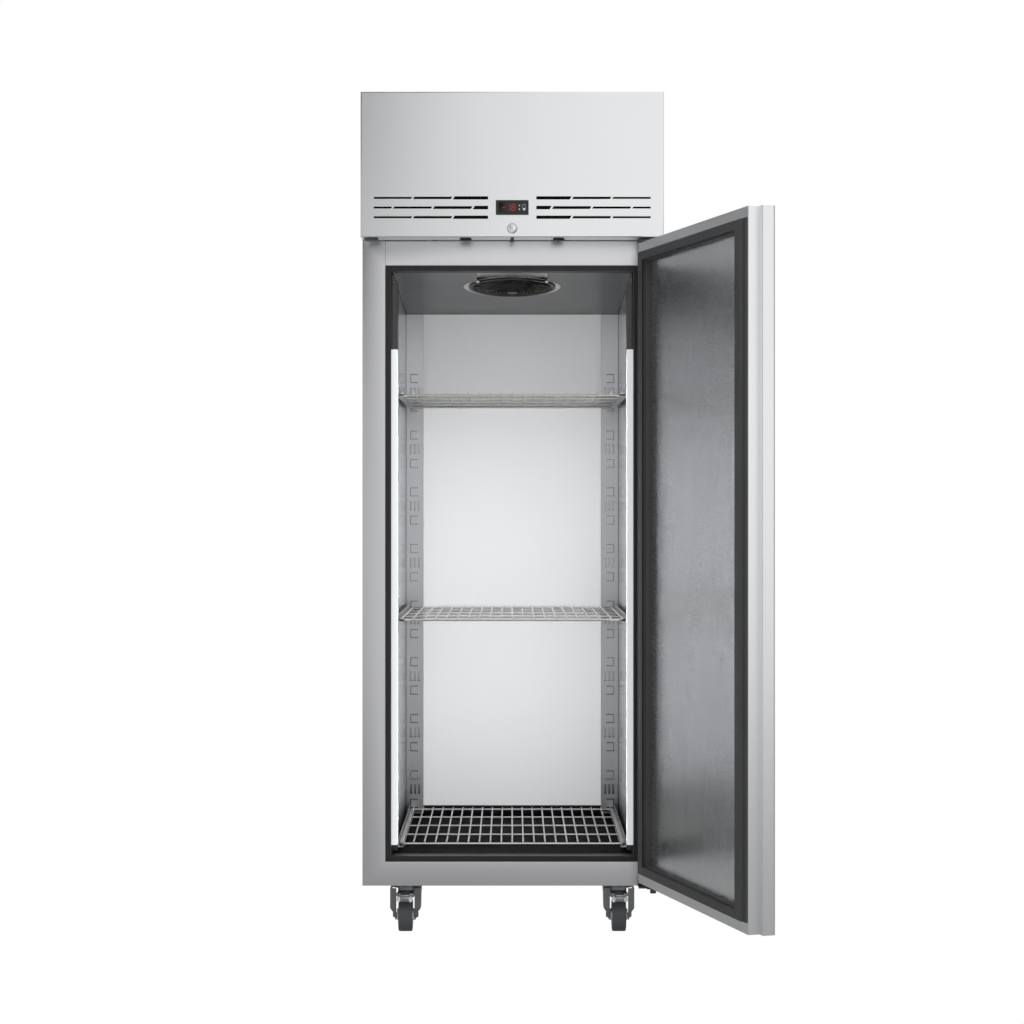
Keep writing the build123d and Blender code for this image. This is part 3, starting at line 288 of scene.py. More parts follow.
def plated(shader, colour, roughness, scale=60, contrast=0.10):
    """Plated or drawn metal with a mottled skin and rubbed streaks."""
    mottle = shader.noise(scale, detail=4)
    rub = shader.noise(16, (1, 1, 0.2), detail=3)
    tone = shader.limit(mottle * 0.6 + rub * 0.4)
    tint = shader.mix(tone, shade(colour, 1 - contrast), shade(colour, 1 + contrast))
    rough = shader.limit(roughness - 0.07 + mottle * 0.14, 0.05, 1)
    shader.surface(tint, rough, shader.bump(mottle, 0.12, 0.0002), metallic=1.0)


def lacquered(shader, colour, roughness):
    """Coated sheet with a faint orange peel and cloudy cleaning marks."""
    peel = shader.noise(260, detail=2)
    clouds = shader.noise(2.3, detail=4)
    tint = shader.mix(clouds, shade(colour, 0.96), shade(colour, 1.03))
    rough = shader.limit(roughness - 0.05 + clouds * 0.1, 0.05, 1)
    shader.surface(tint, rough, shader.bump(peel, 0.12, 0.00008))


def spangled(shader, colour):
    """Hot-dip zinc with its crystal flowers."""
    cells = {"Vector": shader.place(), "Scale": 70, "Randomness": 1}
    flowers = shader.node("TexVoronoi", sockets=cells, output=1)
    value = shader.node("RGBToBW", sockets={"Color": flowers})
    cloud = shader.noise(9, detail=4)
    tone = shader.limit(value * 0.7 + cloud * 0.3)
    tint = shader.mix(tone, shade(colour, 0.82), shade(colour, 1.1))
    shader.surface(tint, shader.limit(0.28 + value * 0.2), shader.bump(value, 0.08, 0.0002), metallic=1.0)


def lit(shader, colour, strength):
    """A milky cover over a light, glowing a little unevenly."""
    glow = shader.noise(40, (1, 1, 0.1), detail=2)
    tint = shader.mix(glow, shade(colour, 0.97), colour)
    shader.surface(tint, 0.45, None, metallic=0.0, emission_color=tint, emission_strength=strength)


def foamed(shader, colour):
    """Rigid foam with open cells at its cut faces."""
    cells = shader.node("TexVoronoi", sockets={"Vector": shader.place(), "Scale": 260})
    tint = shader.mix(cells, shade(colour, 0.8), colour)
    shader.surface(tint, 0.95, shader.bump(cells, 0.5, 0.0006))


def woven(shader, colour):
    """Filter fleece with its coarse net."""
    net = shader.node("TexVoronoi", sockets={"Vector": shader.place(), "Scale": 320})
    fibres = shader.noise(180, (1, 1, 3), detail=4)
    tone = shader.limit(net * 0.6 + fibres * 0.4)
    tint = shader.mix(tone, shade(colour, 0.5), shade(colour, 1.4))
    shader.surface(tint, 0.9, shader.bump(tone, 0.6, 0.0005))


def colours():
    return bpy.context.scene.freezer_colours


def sizes():
    return bpy.context.scene.freezer_sizes


LEVEL = (1, 1, 30)
UPRIGHT = (30, 30, 1)
DEEP = (30, 1, 30)

# The ceiling is far darker than the liner's steel: painted shade
FINISHES = {
    "fascia steel": lambda s: brushed(s, colours().outer_steel, 0.30, LEVEL, contrast=0.025),
    "casing steel": lambda s: brushed(s, shade(colours().outer_steel, 0.95), 0.34, UPRIGHT, contrast=0.03),
    "frame steel": lambda s: brushed(s, colours().frame_steel, 0.34, UPRIGHT, contrast=0.02),
    "door steel": lambda s: brushed(s, colours().outer_steel, 0.30, UPRIGHT, -DOOR_OPEN, 0.03),
    "door panel steel": lambda s: brushed(s, colours().outer_steel, 0.27, LEVEL, -DOOR_OPEN, 0.03),
    "liner steel": lambda s: shaded_steel(s, colours().liner_steel, 0.24),
    "shaded ceiling steel": lambda s: brushed(s, shade(colours().liner_steel, 0.10), 0.30, DEEP),
    "rack steel": lambda s: brushed(s, shade(colours().liner_steel, 0.95), 0.30, UPRIGHT),
    "rear panel lacquer": lambda s: lacquered(s, colours().rear_panel, 0.35),
    "ring steel": lambda s: plated(s, (0.62, 0.63, 0.65), 0.20),
    "breaker plastic": lambda s: moulded(s, colours().black_plastic, 0.42),
    "black enamel": lambda s: moulded(s, shade(colours().black_plastic, 0.35), 0.38, 500),
    "gasket rubber": lambda s: moulded(s, colours().rubber, 0.55, 700, 0.00008),
    "lit diffuser": lambda s: lit(s, colours().light, 0.3),
    "shelf wire": lambda s: plated(s, (0.78, 0.77, 0.75), 0.32, 120),
    "bright zinc": lambda s: plated(s, (0.62, 0.63, 0.65), 0.24),
    "pedal zinc": lambda s: plated(s, (0.36, 0.37, 0.38), 0.30),
    "dull zinc": lambda s: plated(s, (0.24, 0.25, 0.26), 0.30),
    "dark steel": lambda s: plated(s, (0.10, 0.10, 0.105), 0.38),
    "satin steel": lambda s: plated(s, (0.86, 0.86, 0.87), 0.36, 200, 0.04),
    "galvanised sheet": lambda s: spangled(s, (0.60, 0.62, 0.64)),
    "aluminium": lambda s: plated(s, (0.70, 0.71, 0.72), 0.34, 90, 0.06),
    "copper": lambda s: plated(s, (0.72, 0.38, 0.24), 0.28, 45, 0.14),
    "pot enamel": lambda s: moulded(s, (0.025, 0.026, 0.028), 0.34, 300, 0.0001),
    "grey moulding": lambda s: moulded(s, (0.55, 0.56, 0.57), 0.45),
    "smoke moulding": lambda s: moulded(s, (0.075, 0.076, 0.08), 0.45),
    "pale moulding": lambda s: moulded(s, (0.72, 0.73, 0.74), 0.5, 400, 0.00006, 0.08),
    "insulation": lambda s: foamed(s, (0.82, 0.74, 0.50)),
    "filter fleece": lambda s: woven(s, (0.006, 0.006, 0.0065)),
    "tyre rubber": lambda s: moulded(s, (0.075, 0.077, 0.08), 0.6, 600, 0.0001),
    "bush bronze": lambda s: plated(s, (0.60, 0.42, 0.22), 0.4),
    "bezel gloss": lambda s: moulded(s, (0.008, 0.008, 0.009), 0.3, 300, 0.00001),
    "display lens": lambda s: moulded(s, (0.012, 0.004, 0.005), 0.25, 200, 0.00001),
    "key grey": lambda s: moulded(s, (0.02, 0.02, 0.022), 0.4),
    "mark white": lambda s: moulded(s, (0.75, 0.76, 0.78), 0.5, 900, 0.00002, 0.05),
    "lit digits": lambda s: lit(s, colours().digits, 0.2),
    "seam shadow": lambda s: moulded(s, (0.05, 0.05, 0.052), 0.7),
}


def finish(name):
    """The material of that name, made when it is first asked for."""
    known = bpy.data.materials.get(name)
    if known:
        return known
    material = bpy.data.materials.new(name)
    FINISHES[name](Shader(material))
    return material


# Mesh making

class Mould:
    """Gathers the faces of one piece, in the drawing's millimetres."""

    def __init__(self):
        self.mesh = bmesh.new()

    def loft(self, rings, around=True, ends=False, closed=False):
        """Faces between neighbouring rings of points; a ring of one point is a tip."""
        made = [[self.mesh.verts.new(p) for p in ring] for ring in rings]
        pairs = list(pairwise(made))
        if closed:
            pairs.append((made[-1], made[0]))
        for low, high in pairs:
            count = max(len(low), len(high))
            for n in range(count if around else count - 1):
                m = n + 1
                corners = (low[n % len(low)], low[m % len(low)], high[m % len(high)], high[n % len(high)])
                self.mesh.faces.new(dict.fromkeys(corners))
        if ends:
            for ring in (made[0], made[-1]):
                if len(ring) > 2:
                    self.mesh.faces.new(ring)

    def lathe(self, profile, place=Matrix(), steps=40, ends=True):
        """A turned form; the profile gives radius and height along the place's Z."""
        rings = [circle(radius, height, steps, place) for radius, height in profile]
        self.loft(rings, ends=ends)

    def block(self, low, high, edge=0.6, place=Matrix()):
        """A block between two corners with its edges broken."""
        size = [b - a for a, b in zip(low, high)]
        middle = [(a + b) / 2 for a, b in zip(low, high)]
        matrix = place @ Matrix.Translation(middle) @ Matrix.Diagonal((*size, 1))
        made = bmesh.ops.create_cube(self.mesh, size=1, matrix=matrix)
        edges = list({e for v in made["verts"] for e in v.link_edges})
        edge = min(edge, min(size) * 0.45)
        bmesh.ops.bevel(self.mesh, geom=edges, offset=edge, segments=2, profile=0.5, affect="EDGES")

    def wire(self, points, radius, closed=False, sides=10, place=Matrix()):
        """A round wire along points."""
        points = [Vector(p) for p in points]
        last = len(points) - 1
        across = None
        rings = []
        for n, point in enumerate(points):
            before = points[n - 1] if n or closed else point
            after = points[(n + 1) % len(points)] if n < last or closed else point
            along = (after - before).normalized()
            across = along.orthogonal() if across is None else across
            across = (across - along * across.dot(along)).normalized()
            up = along.cross(across)
            rings.append([place @ (point + radius * (cos(a) * across + sin(a) * up)) for a in angles(sides)])
        self.loft(rings, ends=not closed, closed=closed)

    def border(self, profile, half, low, high):
        """A mitred frame; its profile gives one inset, or those at the sides, foot and head, and then y."""
        rings = []
        for *insets, y in profile:
            side, foot, head = insets if len(insets) == 3 else insets * 3
            x, z0, z1 = half - side, low + foot, high - head
            rings.append([(-x, y, z0), (x, y, z0), (x, y, z1), (-x, y, z1)])
        self.loft(rings, closed=True)

    def screw(self, place, radius, height):
        """A domed head with a cross recess, standing on the place's XY plane."""
        steps = 32
        dome = ((1, 0), (1, 0.35), (0.86, 0.75), (0.66, 1))
        rings = [circle(radius * across, height * up, steps, place) for across, up in dome]
        cross = cross_outline(radius * 0.58, radius * 0.15, steps)
        rings += [[place @ Vector((*p, height * depth)) for p in cross] for depth in (0.95, 0.3)]
        rings.append([place @ Vector((0, 0, height * 0.25))])
        self.loft(rings)

    def make(self, name, body, material, place=CABINET, stands_for=(), smooth=38):
        """Turns what was gathered into a piece that rides on a body."""
        bmesh.ops.recalc_face_normals(self.mesh, faces=self.mesh.faces)
        self.mesh.transform(place)
        mesh = bpy.data.meshes.new(name)
        self.mesh.to_mesh(mesh)
        self.mesh.free()
        mesh.shade_smooth()
        mesh.set_sharp_from_angle(angle=radians(smooth))
        mesh.materials.append(finish(material))
        piece = bpy.data.objects.new(name, mesh)
        bpy.context.scene.collection.objects.link(piece)
        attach(piece, body)
        if stands_for:
            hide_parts(*stands_for)
        return piece


def angles(count):
    """Directions spread evenly round a circle."""
    return [2 * pi * n / count for n in range(count)]


def circle(radius, height, steps, place=Matrix()):
    """Points round the place's Z, or its tip where the radius is nought."""
    if radius == 0:
        return [place @ Vector((0, 0, height))]
    return [place @ Vector((radius * cos(a), radius * sin(a), height)) for a in angles(steps)]


def rectangle(x0, y0, x1, y1):
    """The corners of a rectangle, in order."""
    return [(x0, y0), (x1, y0), (x1, y1), (x0, y1)]


def reach_of_box(a, half_x, half_y):
    """Distance from the middle of a rectangle to its edge in a direction."""
    return min(half_x / max(abs(cos(a)), 1e-9), half_y / max(abs(sin(a)), 1e-9))


def box_outline(half_x, half_y, steps):
    """Points on a rectangle, in the directions of a circle's points."""
    reaches = [(a, reach_of_box(a, half_x, half_y)) for a in angles(steps)]
    return [(reach * cos(a), reach * sin(a)) for a, reach in reaches]


def cross_outline(arm, width, steps):
    """Points on a cross, in the directions of a circle's points."""
    reaches = [(a, max(reach_of_box(a, arm, width), reach_of_box(a, width, arm))) for a in angles(steps)]
    return [(reach * cos(a), reach * sin(a)) for a, reach in reaches]


def arc(middle, radius, start, stop, steps=6):
    """Points of an arc in a profile, from one angle in degrees to another."""
    turns = [radians(start + (stop - start) * n / steps) for n in range(steps + 1)]
    return [(middle[0] + radius * cos(a), middle[1] + radius * sin(a)) for a in turns]


def plate(name, outline, holes, thickness):
    """A flat mesh in X and Y with holes, filled by a curve and as thick as given."""
    curve = bpy.data.curves.new(name, "CURVE")
    curve.dimensions = "2D"
    curve.fill_mode = "BOTH"
    curve.extrude = thickness / 2
    for ring in [outline, *holes]:
        spline = curve.splines.new("POLY")
        spline.points.add(len(ring) - 1)
        for point, (x, y) in zip(spline.points, ring):
            point.co = (x, y, 0, 1)
        spline.use_cyclic_u = True
    holder = bpy.data.objects.new(name, curve)
    mesh = bpy.data.meshes.new_from_object(holder)
    bpy.data.objects.remove(holder)
    return mesh


# Fascia

def slot_outlines():
    """The slanted air slots: three rows on each side, thin outside and thick near the controller."""
    outer, inner, pitch, bridge, row_pitch = 319.3, 55.7, 92.3, 5.0, 22.3
    rings = []
    for row in (-1, 0, 1):
        z = SLOT_Z + row * row_pitch
        end = outer if row else outer + pitch / 2
        while end > inner + bridge:
            x1 = min(end, outer)
            x0 = max(end - pitch + bridge, inner)
            share = (outer - (x0 + x1) / 2) / (outer - inner)
            tall = 4.4 + 4.2 * share ** 2
            low, high = z - tall / 2, z + tall / 2
            for side in (1, -1):
                a, b = sorted((side * x0, side * x1))
                lean_a, lean_b = (0 if abs(x) in (inner, outer) else 0.3 * tall for x in (a, b))
                rings.append([(a - lean_a, low), (b - lean_b, low), (b + lean_b, high), (a + lean_a, high)])
            end -= pitch
    return rings


def make_fascia():
    """Folded front sheet with its air slots and holes."""
    bend = sizes().bend_radius * 1000
    sheet = 1.0
    flat = bend + 1.5
    window_x, window_z, lock_radius = 35.3, 14.5, 8.1
    outline = rectangle(-HALF + flat, FASCIA_LOW + flat, HALF - flat, HEIGHT - flat)
    window = rectangle(-window_x, SLOT_Z - window_z, window_x, SLOT_Z + window_z)
    lock_hole = arc((0, LOCK_Z), lock_radius, 0, 345, 23)
    mesh = plate("fascia_sheet", outline, [*slot_outlines(), window, lock_hole], sheet)
    mould = Mould()
    mould.mesh.from_mesh(mesh)
    bpy.data.meshes.remove(mesh)
    mould.mesh.transform(at(0, FASCIA_FRONT + sheet / 2, 0) @ FORWARD)
    outer = arc((bend, FASCIA_FRONT + bend), bend, 270, 180)
    inner = arc((bend, FASCIA_FRONT + bend), bend - sheet, 180, 270)
    profile = [(flat, FASCIA_FRONT), *outer, (0, FASCIA_BACK), (sheet, FASCIA_BACK), *inner,
               (flat, FASCIA_FRONT + sheet)]
    mould.border(profile, HALF, FASCIA_LOW, HEIGHT)
    mould.make("fascia_panel", "fascia", "fascia steel", stands_for=["front_fascia"])


DIGIT_SEGMENTS = {
    "0": "abcdef", "1": "bc", "2": "abged", "3": "abgcd", "4": "fgbc", "5": "afgcd", "6": "afgedc",
    "7": "abc", "8": "abcdefg", "9": "abcdfg", "-": "g", " ": "",
}


def make_controller():
    """Display window with its lit digits, and the marks on the two keys."""
    face = CONTROLLER_FACE
    window = Mould()
    window.block((-30.6, face + 0.05, SLOT_Z - 11.8), (7.8, face + 0.6, SLOT_Z + 11.8), 0.4)
    window.make("display_window", "fascia", "display lens")
    digits = Mould()
    tall, wide, stroke, lean, first, pitch, cut = 7.0, 3.4, 1.3, 0.12, -19.4, 11.1, 0.35
    ends = {"a": ((-1, 2), (1, 2)), "b": ((1, 2), (1, 0)), "c": ((1, 0), (1, -2)), "d": ((-1, -2), (1, -2)),
            "e": ((-1, 0), (-1, -2)), "f": ((-1, 2), (-1, 0)), "g": ((-1, 0), (1, 0))}
    text = str(sizes().temperature).rjust(3)
    for number, character in enumerate(text):
        middle = first + number * pitch
        for segment in DIGIT_SEGMENTS[character]:
            (x0, z0), (x1, z1) = ends[segment]
            start = Vector((x0 * wide, 0, z0 * tall / 2))
            stop = Vector((x1 * wide, 0, z1 * tall / 2))
            along = (stop - start).normalized()
            side = Vector((along.z, 0, -along.x)) * stroke / 2
            start, stop = start + along * cut, stop - along * cut
            ring = [start, start + along * stroke / 2 + side, stop - along * stroke / 2 + side, stop,
                    stop - along * stroke / 2 - side, start + along * stroke / 2 - side]
            rings = []
            for y in (face - 0.02, face + 0.15):
                rings.append([(middle + p.x + lean * p.z, y, SLOT_Z + p.z) for p in ring])
            digits.loft(rings, ends=True)
    digits.make("display_digits", "fascia", "lit digits")
    key_face = face - 0.9
    left_key, right_key, half_arrow = 16.6, 27.4, 1.9
    arrows = Mould()
    for way in (1, -1):
        tip = SLOT_Z + way * 6.5
        foot = SLOT_Z + way * 3.2
        rings = [[(left_key - half_arrow, y, foot), (left_key + half_arrow, y, foot), (left_key, y, tip)]
                 for y in (key_face - 0.05, key_face + 0.2)]
        arrows.loft(rings, ends=True)
    arrows.make("key_arrows", "key_left", "mark white")
    oval = Mould()
    ring = [(right_key + 3.9 * cos(a), key_face, SLOT_Z + 7.6 * sin(a)) for a in angles(40)]
    oval.wire(ring, 0.28, closed=True, sides=6)
    dot = at(right_key, key_face + 0.2, SLOT_Z - 3.6) @ FORWARD
    oval.lathe([(2.4, 0), (2.4, 0.2), (2.0, 0.35), (0, 0.4)], dot, 24)
    oval.make("key_oval", "key_right", "mark white")


def make_lock():
    """Cam lock: rim, turned plug with its key slit, barrel and crank, and its washer on the fascia."""
    place = at(0, FASCIA_FRONT - 0.3, LOCK_Z) @ FORWARD
    lock = Mould()
    steps = 48
    profile = [(7.9, -26), (7.9, 0), (11, 0), (11, 1.7), (10.5, 2.4), (9.8, 2.7), (9.3, 2.5), (9.0, 1.9),
               (7.9, 1.9), (7.6, 2.5), (7.2, 2.7)]
    rings = [circle(r, h, steps, place) for r, h in profile]
    for depth in (2.7, 0.2):
        rings.append([place @ Vector((*p, depth)) for p in box_outline(0.7, 3.4, steps)])
    lock.loft(rings, ends=True)
    crank = at(0, -47, LOCK_Z) @ FORWARD
    lock.lathe([(7, 0), (12.4, 0), (12.9, -0.5), (12.9, -2.5), (12.4, -3), (7, -3)], crank)
    turn, pin_reach = radians(45), 9.9
    pin = at(pin_reach * cos(turn), -44.2, LOCK_Z + pin_reach * sin(turn)) @ FORWARD
    lock.lathe([(1.5, 0), (1.5, -7.6), (1.1, -8)], pin, 20)
    lock.make("cam_lock", "lock", "satin steel", stands_for=["lock_cylinder"])
    slit = Mould()
    slit.block((-0.9, FASCIA_FRONT - 0.8, LOCK_Z - 4.4), (0.9, FASCIA_FRONT - 0.55, LOCK_Z + 4.4), 0.1)
    slit.make("lock_slit", "lock", "pedal zinc")
    # The washer's dark steel shows as a thin dark ring round the rim: painted shade for the shading at the
    # rim's edge
    washer = Mould()
    seat = at(0, FASCIA_FRONT, LOCK_Z) @ FORWARD
    washer.lathe([(8.2, 0), (11.8, 0), (11.6, 0.2), (8.2, 0.2)], seat)
    washer.make("lock_washer", "fascia", "dark steel")


def make_thumb_screws():
    """Knurled captive screws under the fascia."""
    count = sizes().knurls
    screws = Mould()
    for x in (-108, 108):
        rings = []
        for height, depth, radius in ((0, 0, 3), (-0.3, 0, 12.7), (-1, 0.7, 13.5), (-3.6, 0.7, 13.5),
                                      (-4.7, 0, 12), (-5, 0, 7.5), (-4.2, 0, 6.8)):
            ring = []
            for n in range(count * 2):
                a = pi * n / count
                reach = radius - depth * (n % 2)
                ring.append((x + reach * cos(a), BOLT_Y + reach * sin(a), FASCIA_LOW + height))
            rings.append(ring)
        rings.append([(x, BOLT_Y, FASCIA_LOW - 4.2)])
        screws.loft(rings)
        shank = at(x, BOLT_Y, FASCIA_LOW)
        screws.lathe([(2.8, 0), (2.8, 11.3), (2.2, 12)], shank, 16)
    screws.make("knurled_screws", "fascia", "black enamel", stands_for=["thumb_screws"],
                smooth=25)


# Cabinet front

def make_front_frame():
    """Posts and rails with softly folded edges and the joint of the top rail."""
    radius = 1.2
    inset = HALF - OPENING_HALF
    foot, head = (OPENING_LOW - BODY_BOTTOM) / inset, (BODY_TOP - OPENING_HIGH) / inset
    outer = arc((radius, radius), radius, 180, 270, 4)
    fold = arc((inset - radius, radius), radius, 270, 360, 4)
    profile = [(radius, radius), *outer, *fold, (inset, FRAME_BACK), (inset - radius, FRAME_BACK),
               (inset - radius, radius)]
    mould = Mould()
    mould.border([(a, a * foot, a * head, y) for a, y in profile], HALF, BODY_BOTTOM, BODY_TOP)
    mould.make("front_border", "cabinet", "frame steel", stands_for=["front_frame"])
    seams = Mould()
    for x in (-OPENING_HALF, OPENING_HALF):
        seams.block((x - 0.35, -0.06, OPENING_HIGH + 1), (x + 0.35, 0.2, BODY_TOP - 0.3), 0.05)
    seams.make("rail_joints", "cabinet", "seam shadow")


def ribbed(start, pitch, count, top, foot):
    """A row of rounded ribs in a profile."""
    points = []
    for number in range(count):
        a = start + number * pitch
        b = a + pitch * 0.72
        points += [(a, foot), (a + 0.15, top + 0.8), (a + 0.6, top + 0.15), ((a + b) / 2, top),
                   (b - 0.6, top + 0.15), (b - 0.15, top + 0.8), (b, foot)]
    return points


def make_breaker_strip():
    """Ribbed black strip round the opening, with the lips that hold the liner's edges."""
    width = 13.5
    mould = Mould()
    profile = [(0, FRAME_BACK), *ribbed(0.05, width / 3, 3, 0.3, 2.3), (width, 2.6), (width, 16),
               (width - 0.4, 16.6), (width - 0.4, 17.6), (width, 18.2), (width, FRAME_BACK)]
    mould.border(profile, OPENING_HALF, OPENING_LOW, OPENING_HIGH)
    inner = OPENING_HALF - width
    for side in (-1, 1):
        a, b = sorted((side * (inner - 2), side * inner))
        mould.block((a, 33, OPENING_LOW + width), (b, FRAME_BACK, OPENING_HIGH - width), 0.5)
    mould.make("breaker_strip", "cabinet", "breaker plastic", stands_for=["breaker_frame"])


# Door

def make_door_seal():
    """Magnetic seal with its bead and ridges, and the black lining of the recess."""
    half, low, high = 328.0, 160.5, 1598.5
    sides, ends = (0, 10, 41, 43, 44.5), (0, 1.5, 21.5, 23.5, 25)

    def across(inset):
        """The inset above and below for one at the sides."""
        for (a, b), (c, d) in zip(pairwise(sides), pairwise(ends)):
            if inset <= b:
                return c + (d - c) * (inset - a) / (b - a)

    profile = [(0, -13), (0, -9.8), (0.5, -9.1), (2.2, -9), (2.6, -8.2), (3.2, -8), (5.0, -8), (6.8, -8.9),
               (8.6, -8.7), (9.6, -7.6), (10, -6), (10, -3.4), (10.5, -1.6), (11.6, -0.6), (13.2, -0.3),
               (18, -0.35), (18.6, -0.9),
               (19.4, -0.9), (20, -0.4), (31, -0.4), (31.6, -0.9), (32.4, -0.9), (33, -0.35), (38.2, -0.3),
               (40.4, -0.6), (40.9, -1.2), (36.5, -1.6), (36.5, -4.4), (40.9, -4.8), (41, -8.9), (42.6, -9),
               (44.1, -9.2), (44.5, -10), (44.5, -21.9), (43.2, -21.9), (43.2, -13)]
    mould = Mould()
    mould.border([(a, across(a), across(a), y) for a, y in profile], half, low, high)
    mould.make("door_seal", "door", "gasket rubber", DOOR, stands_for=["door_gasket"])


def make_door_joints():
    """Mitre joints of the door's inner border beside the hinge."""
    seams = Mould()
    y = -13.0
    outer, inner = 347.5, 328.2
    for z0, z1 in ((138.5, 160.3), (1619.5, 1598.7)):
        along = Vector((inner - outer, 0, z1 - z0)).normalized()
        across = Vector((along.z, 0, -along.x)) * 0.3
        rings = []
        for depth in (y + 0.05, y - 0.2):
            rings.append([Vector((x, depth, z)) + s * across for x, z, s in
                          ((outer, z0, 1), (inner, z1, 1), (inner, z1, -1), (outer, z0, -1))])
        seams.loft(rings, ends=True)
    seams.make("door_mitres", "door", "seam shadow", DOOR)


def make_hinge_screws():
    """Cross-head screws in the brackets' flanges."""
    screws = Mould()
    for z in (BODY_BOTTOM + 16.1, BODY_TOP - 17.6):
        for x in (HINGE_X - 20, HINGE_X + 6):
            screws.screw(at(x, -3, z) @ FORWARD, 4.5, 1.6)
    screws.make("bracket_screws", "cabinet", "bright zinc", stands_for=["hinge_screws"])


# Fans and machine compartment

def guard_height(radius):
    """Height of the domed guard below its ring."""
    return -1.5 - 13 * (1 - (radius / 106) ** 2)


def make_fan_guard():
    """Wire guard: rim, rings, ribs and hub disc, with the fan ring's two pale front screws."""
    wire = sizes().guard_wire * 1000
    count = sizes().guard_rings
    guard = Mould()
    rim = [(97, -0.2), (106, -0.2), (106.2, -1.2), (105.6, -2.8), (104, -3), (99, -3), (97.4, -2.6)]
    guard.lathe(rim, FAN, 72, False)
    guard.loft([circle(97.4, -2.6, 72, FAN), circle(97, -0.2, 72, FAN)])
    for number in range(1, count + 1):
        radius = 12 + (100 - 12) * number / (count + 1)
        guard.wire(circle(radius, guard_height(radius), 72), wire, True, 8, FAN)
    for number in range(8):
        a = 2 * pi * (number + 0.5) / 8
        radii = [10 + 93 * n / 14 for n in range(15)]
        guard.wire([(r * cos(a), r * sin(a), guard_height(r) + wire) for r in radii], wire, False, 8, FAN)
    guard.lathe([(0, -15.8), (10, -15.6), (13, -14.8), (13.5, -13.5), (12, -12.9), (0, -12.8)], FAN, 40)
    guard.make("wire_guard", "cabinet", "black enamel", stands_for=["fan_guard"])
    screws = Mould()
    for degrees in (180 + 42, -42):
        a = radians(degrees)
        spot = FAN @ at(112 * cos(a), 112 * sin(a), -2) @ Matrix.Rotation(pi, 4, "X")
        screws.screw(spot, 4.2, 2.4)
    screws.make("ring_screws", "cabinet", "mark white")


def propeller(mould, place, reach, hub, foot, depth, sweep, chord):
    """A rounded hub with twisted, cambered blades."""
    mould.lathe([(4, foot + depth), (hub - 2, foot + depth), (hub, foot + depth - 1.5), (hub, foot + 2.5),
                 (hub - 2.5, foot + 0.4), (hub * 0.5, foot), (0, foot)], place, 40)
    spans, strips = 9, 7
    thick = 0.8
    for number in range(sizes().blades):
        root = 2 * pi * number / sizes().blades
        rings = []
        for n in range(spans + 1):
            share = n / spans
            radius = hub - 1 + (reach - hub + 1) * share
            width = chord * (0.75 + 0.5 * share - 0.35 * share ** 3)
            pitch = radians(30 - 16 * share)
            upper, lower = [], []
            for k in range(strips + 1):
                across = k / strips - 0.5
                a = root + sweep * share ** 2 + across * width * cos(pitch) / radius
                rise = across * width * sin(pitch) + 1.6 * (1 - 4 * across ** 2)
                middle = foot + depth / 2 + max(-depth / 2 + 1, min(depth / 2 - 1, rise))
                round_off = thick * (1 - (2 * across) ** 4) ** 0.5 + 0.1
                upper.append(place @ Vector((radius * cos(a), radius * sin(a), middle + round_off)))
                lower.append(place @ Vector((radius * cos(a), radius * sin(a), middle - round_off)))
            rings.append(upper + lower[::-1])
        mould.loft(rings, ends=True)


def make_fan_blades():
    """The moulded evaporator fan and the pressed condenser fan."""
    blade = Mould()
    propeller(blade, FAN, 92, 28, 1, 11, 0.25, 44)
    blade.lathe([(4, 11), (4, 35)], FAN, 20)
    blade.make("evaporator_propeller", "evaporator_fan", "breaker plastic",
               stands_for=["evaporator_fan_blade"])
    blade = Mould()
    propeller(blade, CONDENSER_FAN, 93, 26, 0, 14, -0.25, 48)
    blade.lathe([(4, 13), (4, 28)], CONDENSER_FAN, 20)
    blade.make("condenser_propeller", "condenser_fan", "aluminium", stands_for=["condenser_fan_blade"])


def make_condenser():
    """Fin block with its tubes, return bends and end plates."""
    low, high, front, back = 1650.0, 1900.0, 6.0, 36.0
    fins = Mould()
    pitch = sizes().fin_pitch * 1000
    count = int(372 / pitch)
    for n in range(count + 1):
        x = -count * pitch / 2 + n * pitch
        fin = rectangle(front + 0.5, low + 1, back - 0.5, high - 1)
        rings = [[(x + s, y, z) for y, z in fin] for s in (-0.1, 0.1)]
        fins.loft(rings, ends=True)
    for side in (-1, 1):
        a, b = sorted((side * 188, side * 190))
        fins.block((a, front, BODY_TOP), (b, back, high), 0.3)
        foot_a, foot_b = sorted((side * 190, side * 200))
        fins.block((foot_a, front, BODY_TOP), (foot_b, back, BODY_TOP + 2), 0.3)
    fins.make("condenser_fins", "cabinet", "aluminium", stands_for=["condenser_coil"])
    tubes = Mould()
    rows = 10
    spacing = (high - low) / rows
    for n in range(rows):
        z = low + spacing * (n + 0.5)
        for y in (front + 8, back - 8):
            tubes.wire([(-190, y, z), (190, y, z)], 3.6, sides=12)
    for n in range(rows - 1):
        z = low + spacing * (n + 0.5)
        side = 1 if n % 2 else -1
        for y in (front + 8, back - 8):
            points = [(side * 190, y, z)]
            points += [(side * (190 + 6 * cos(a)), y, z + spacing / 2 + spacing / 2 * sin(a))
                       for a in [radians(-90 + 18 * k) for k in range(11)]]
            points.append((side * 190, y, z + spacing))
            tubes.wire(points, 3.4, sides=10)
    tubes.make("condenser_tubes", "cabinet", "copper")


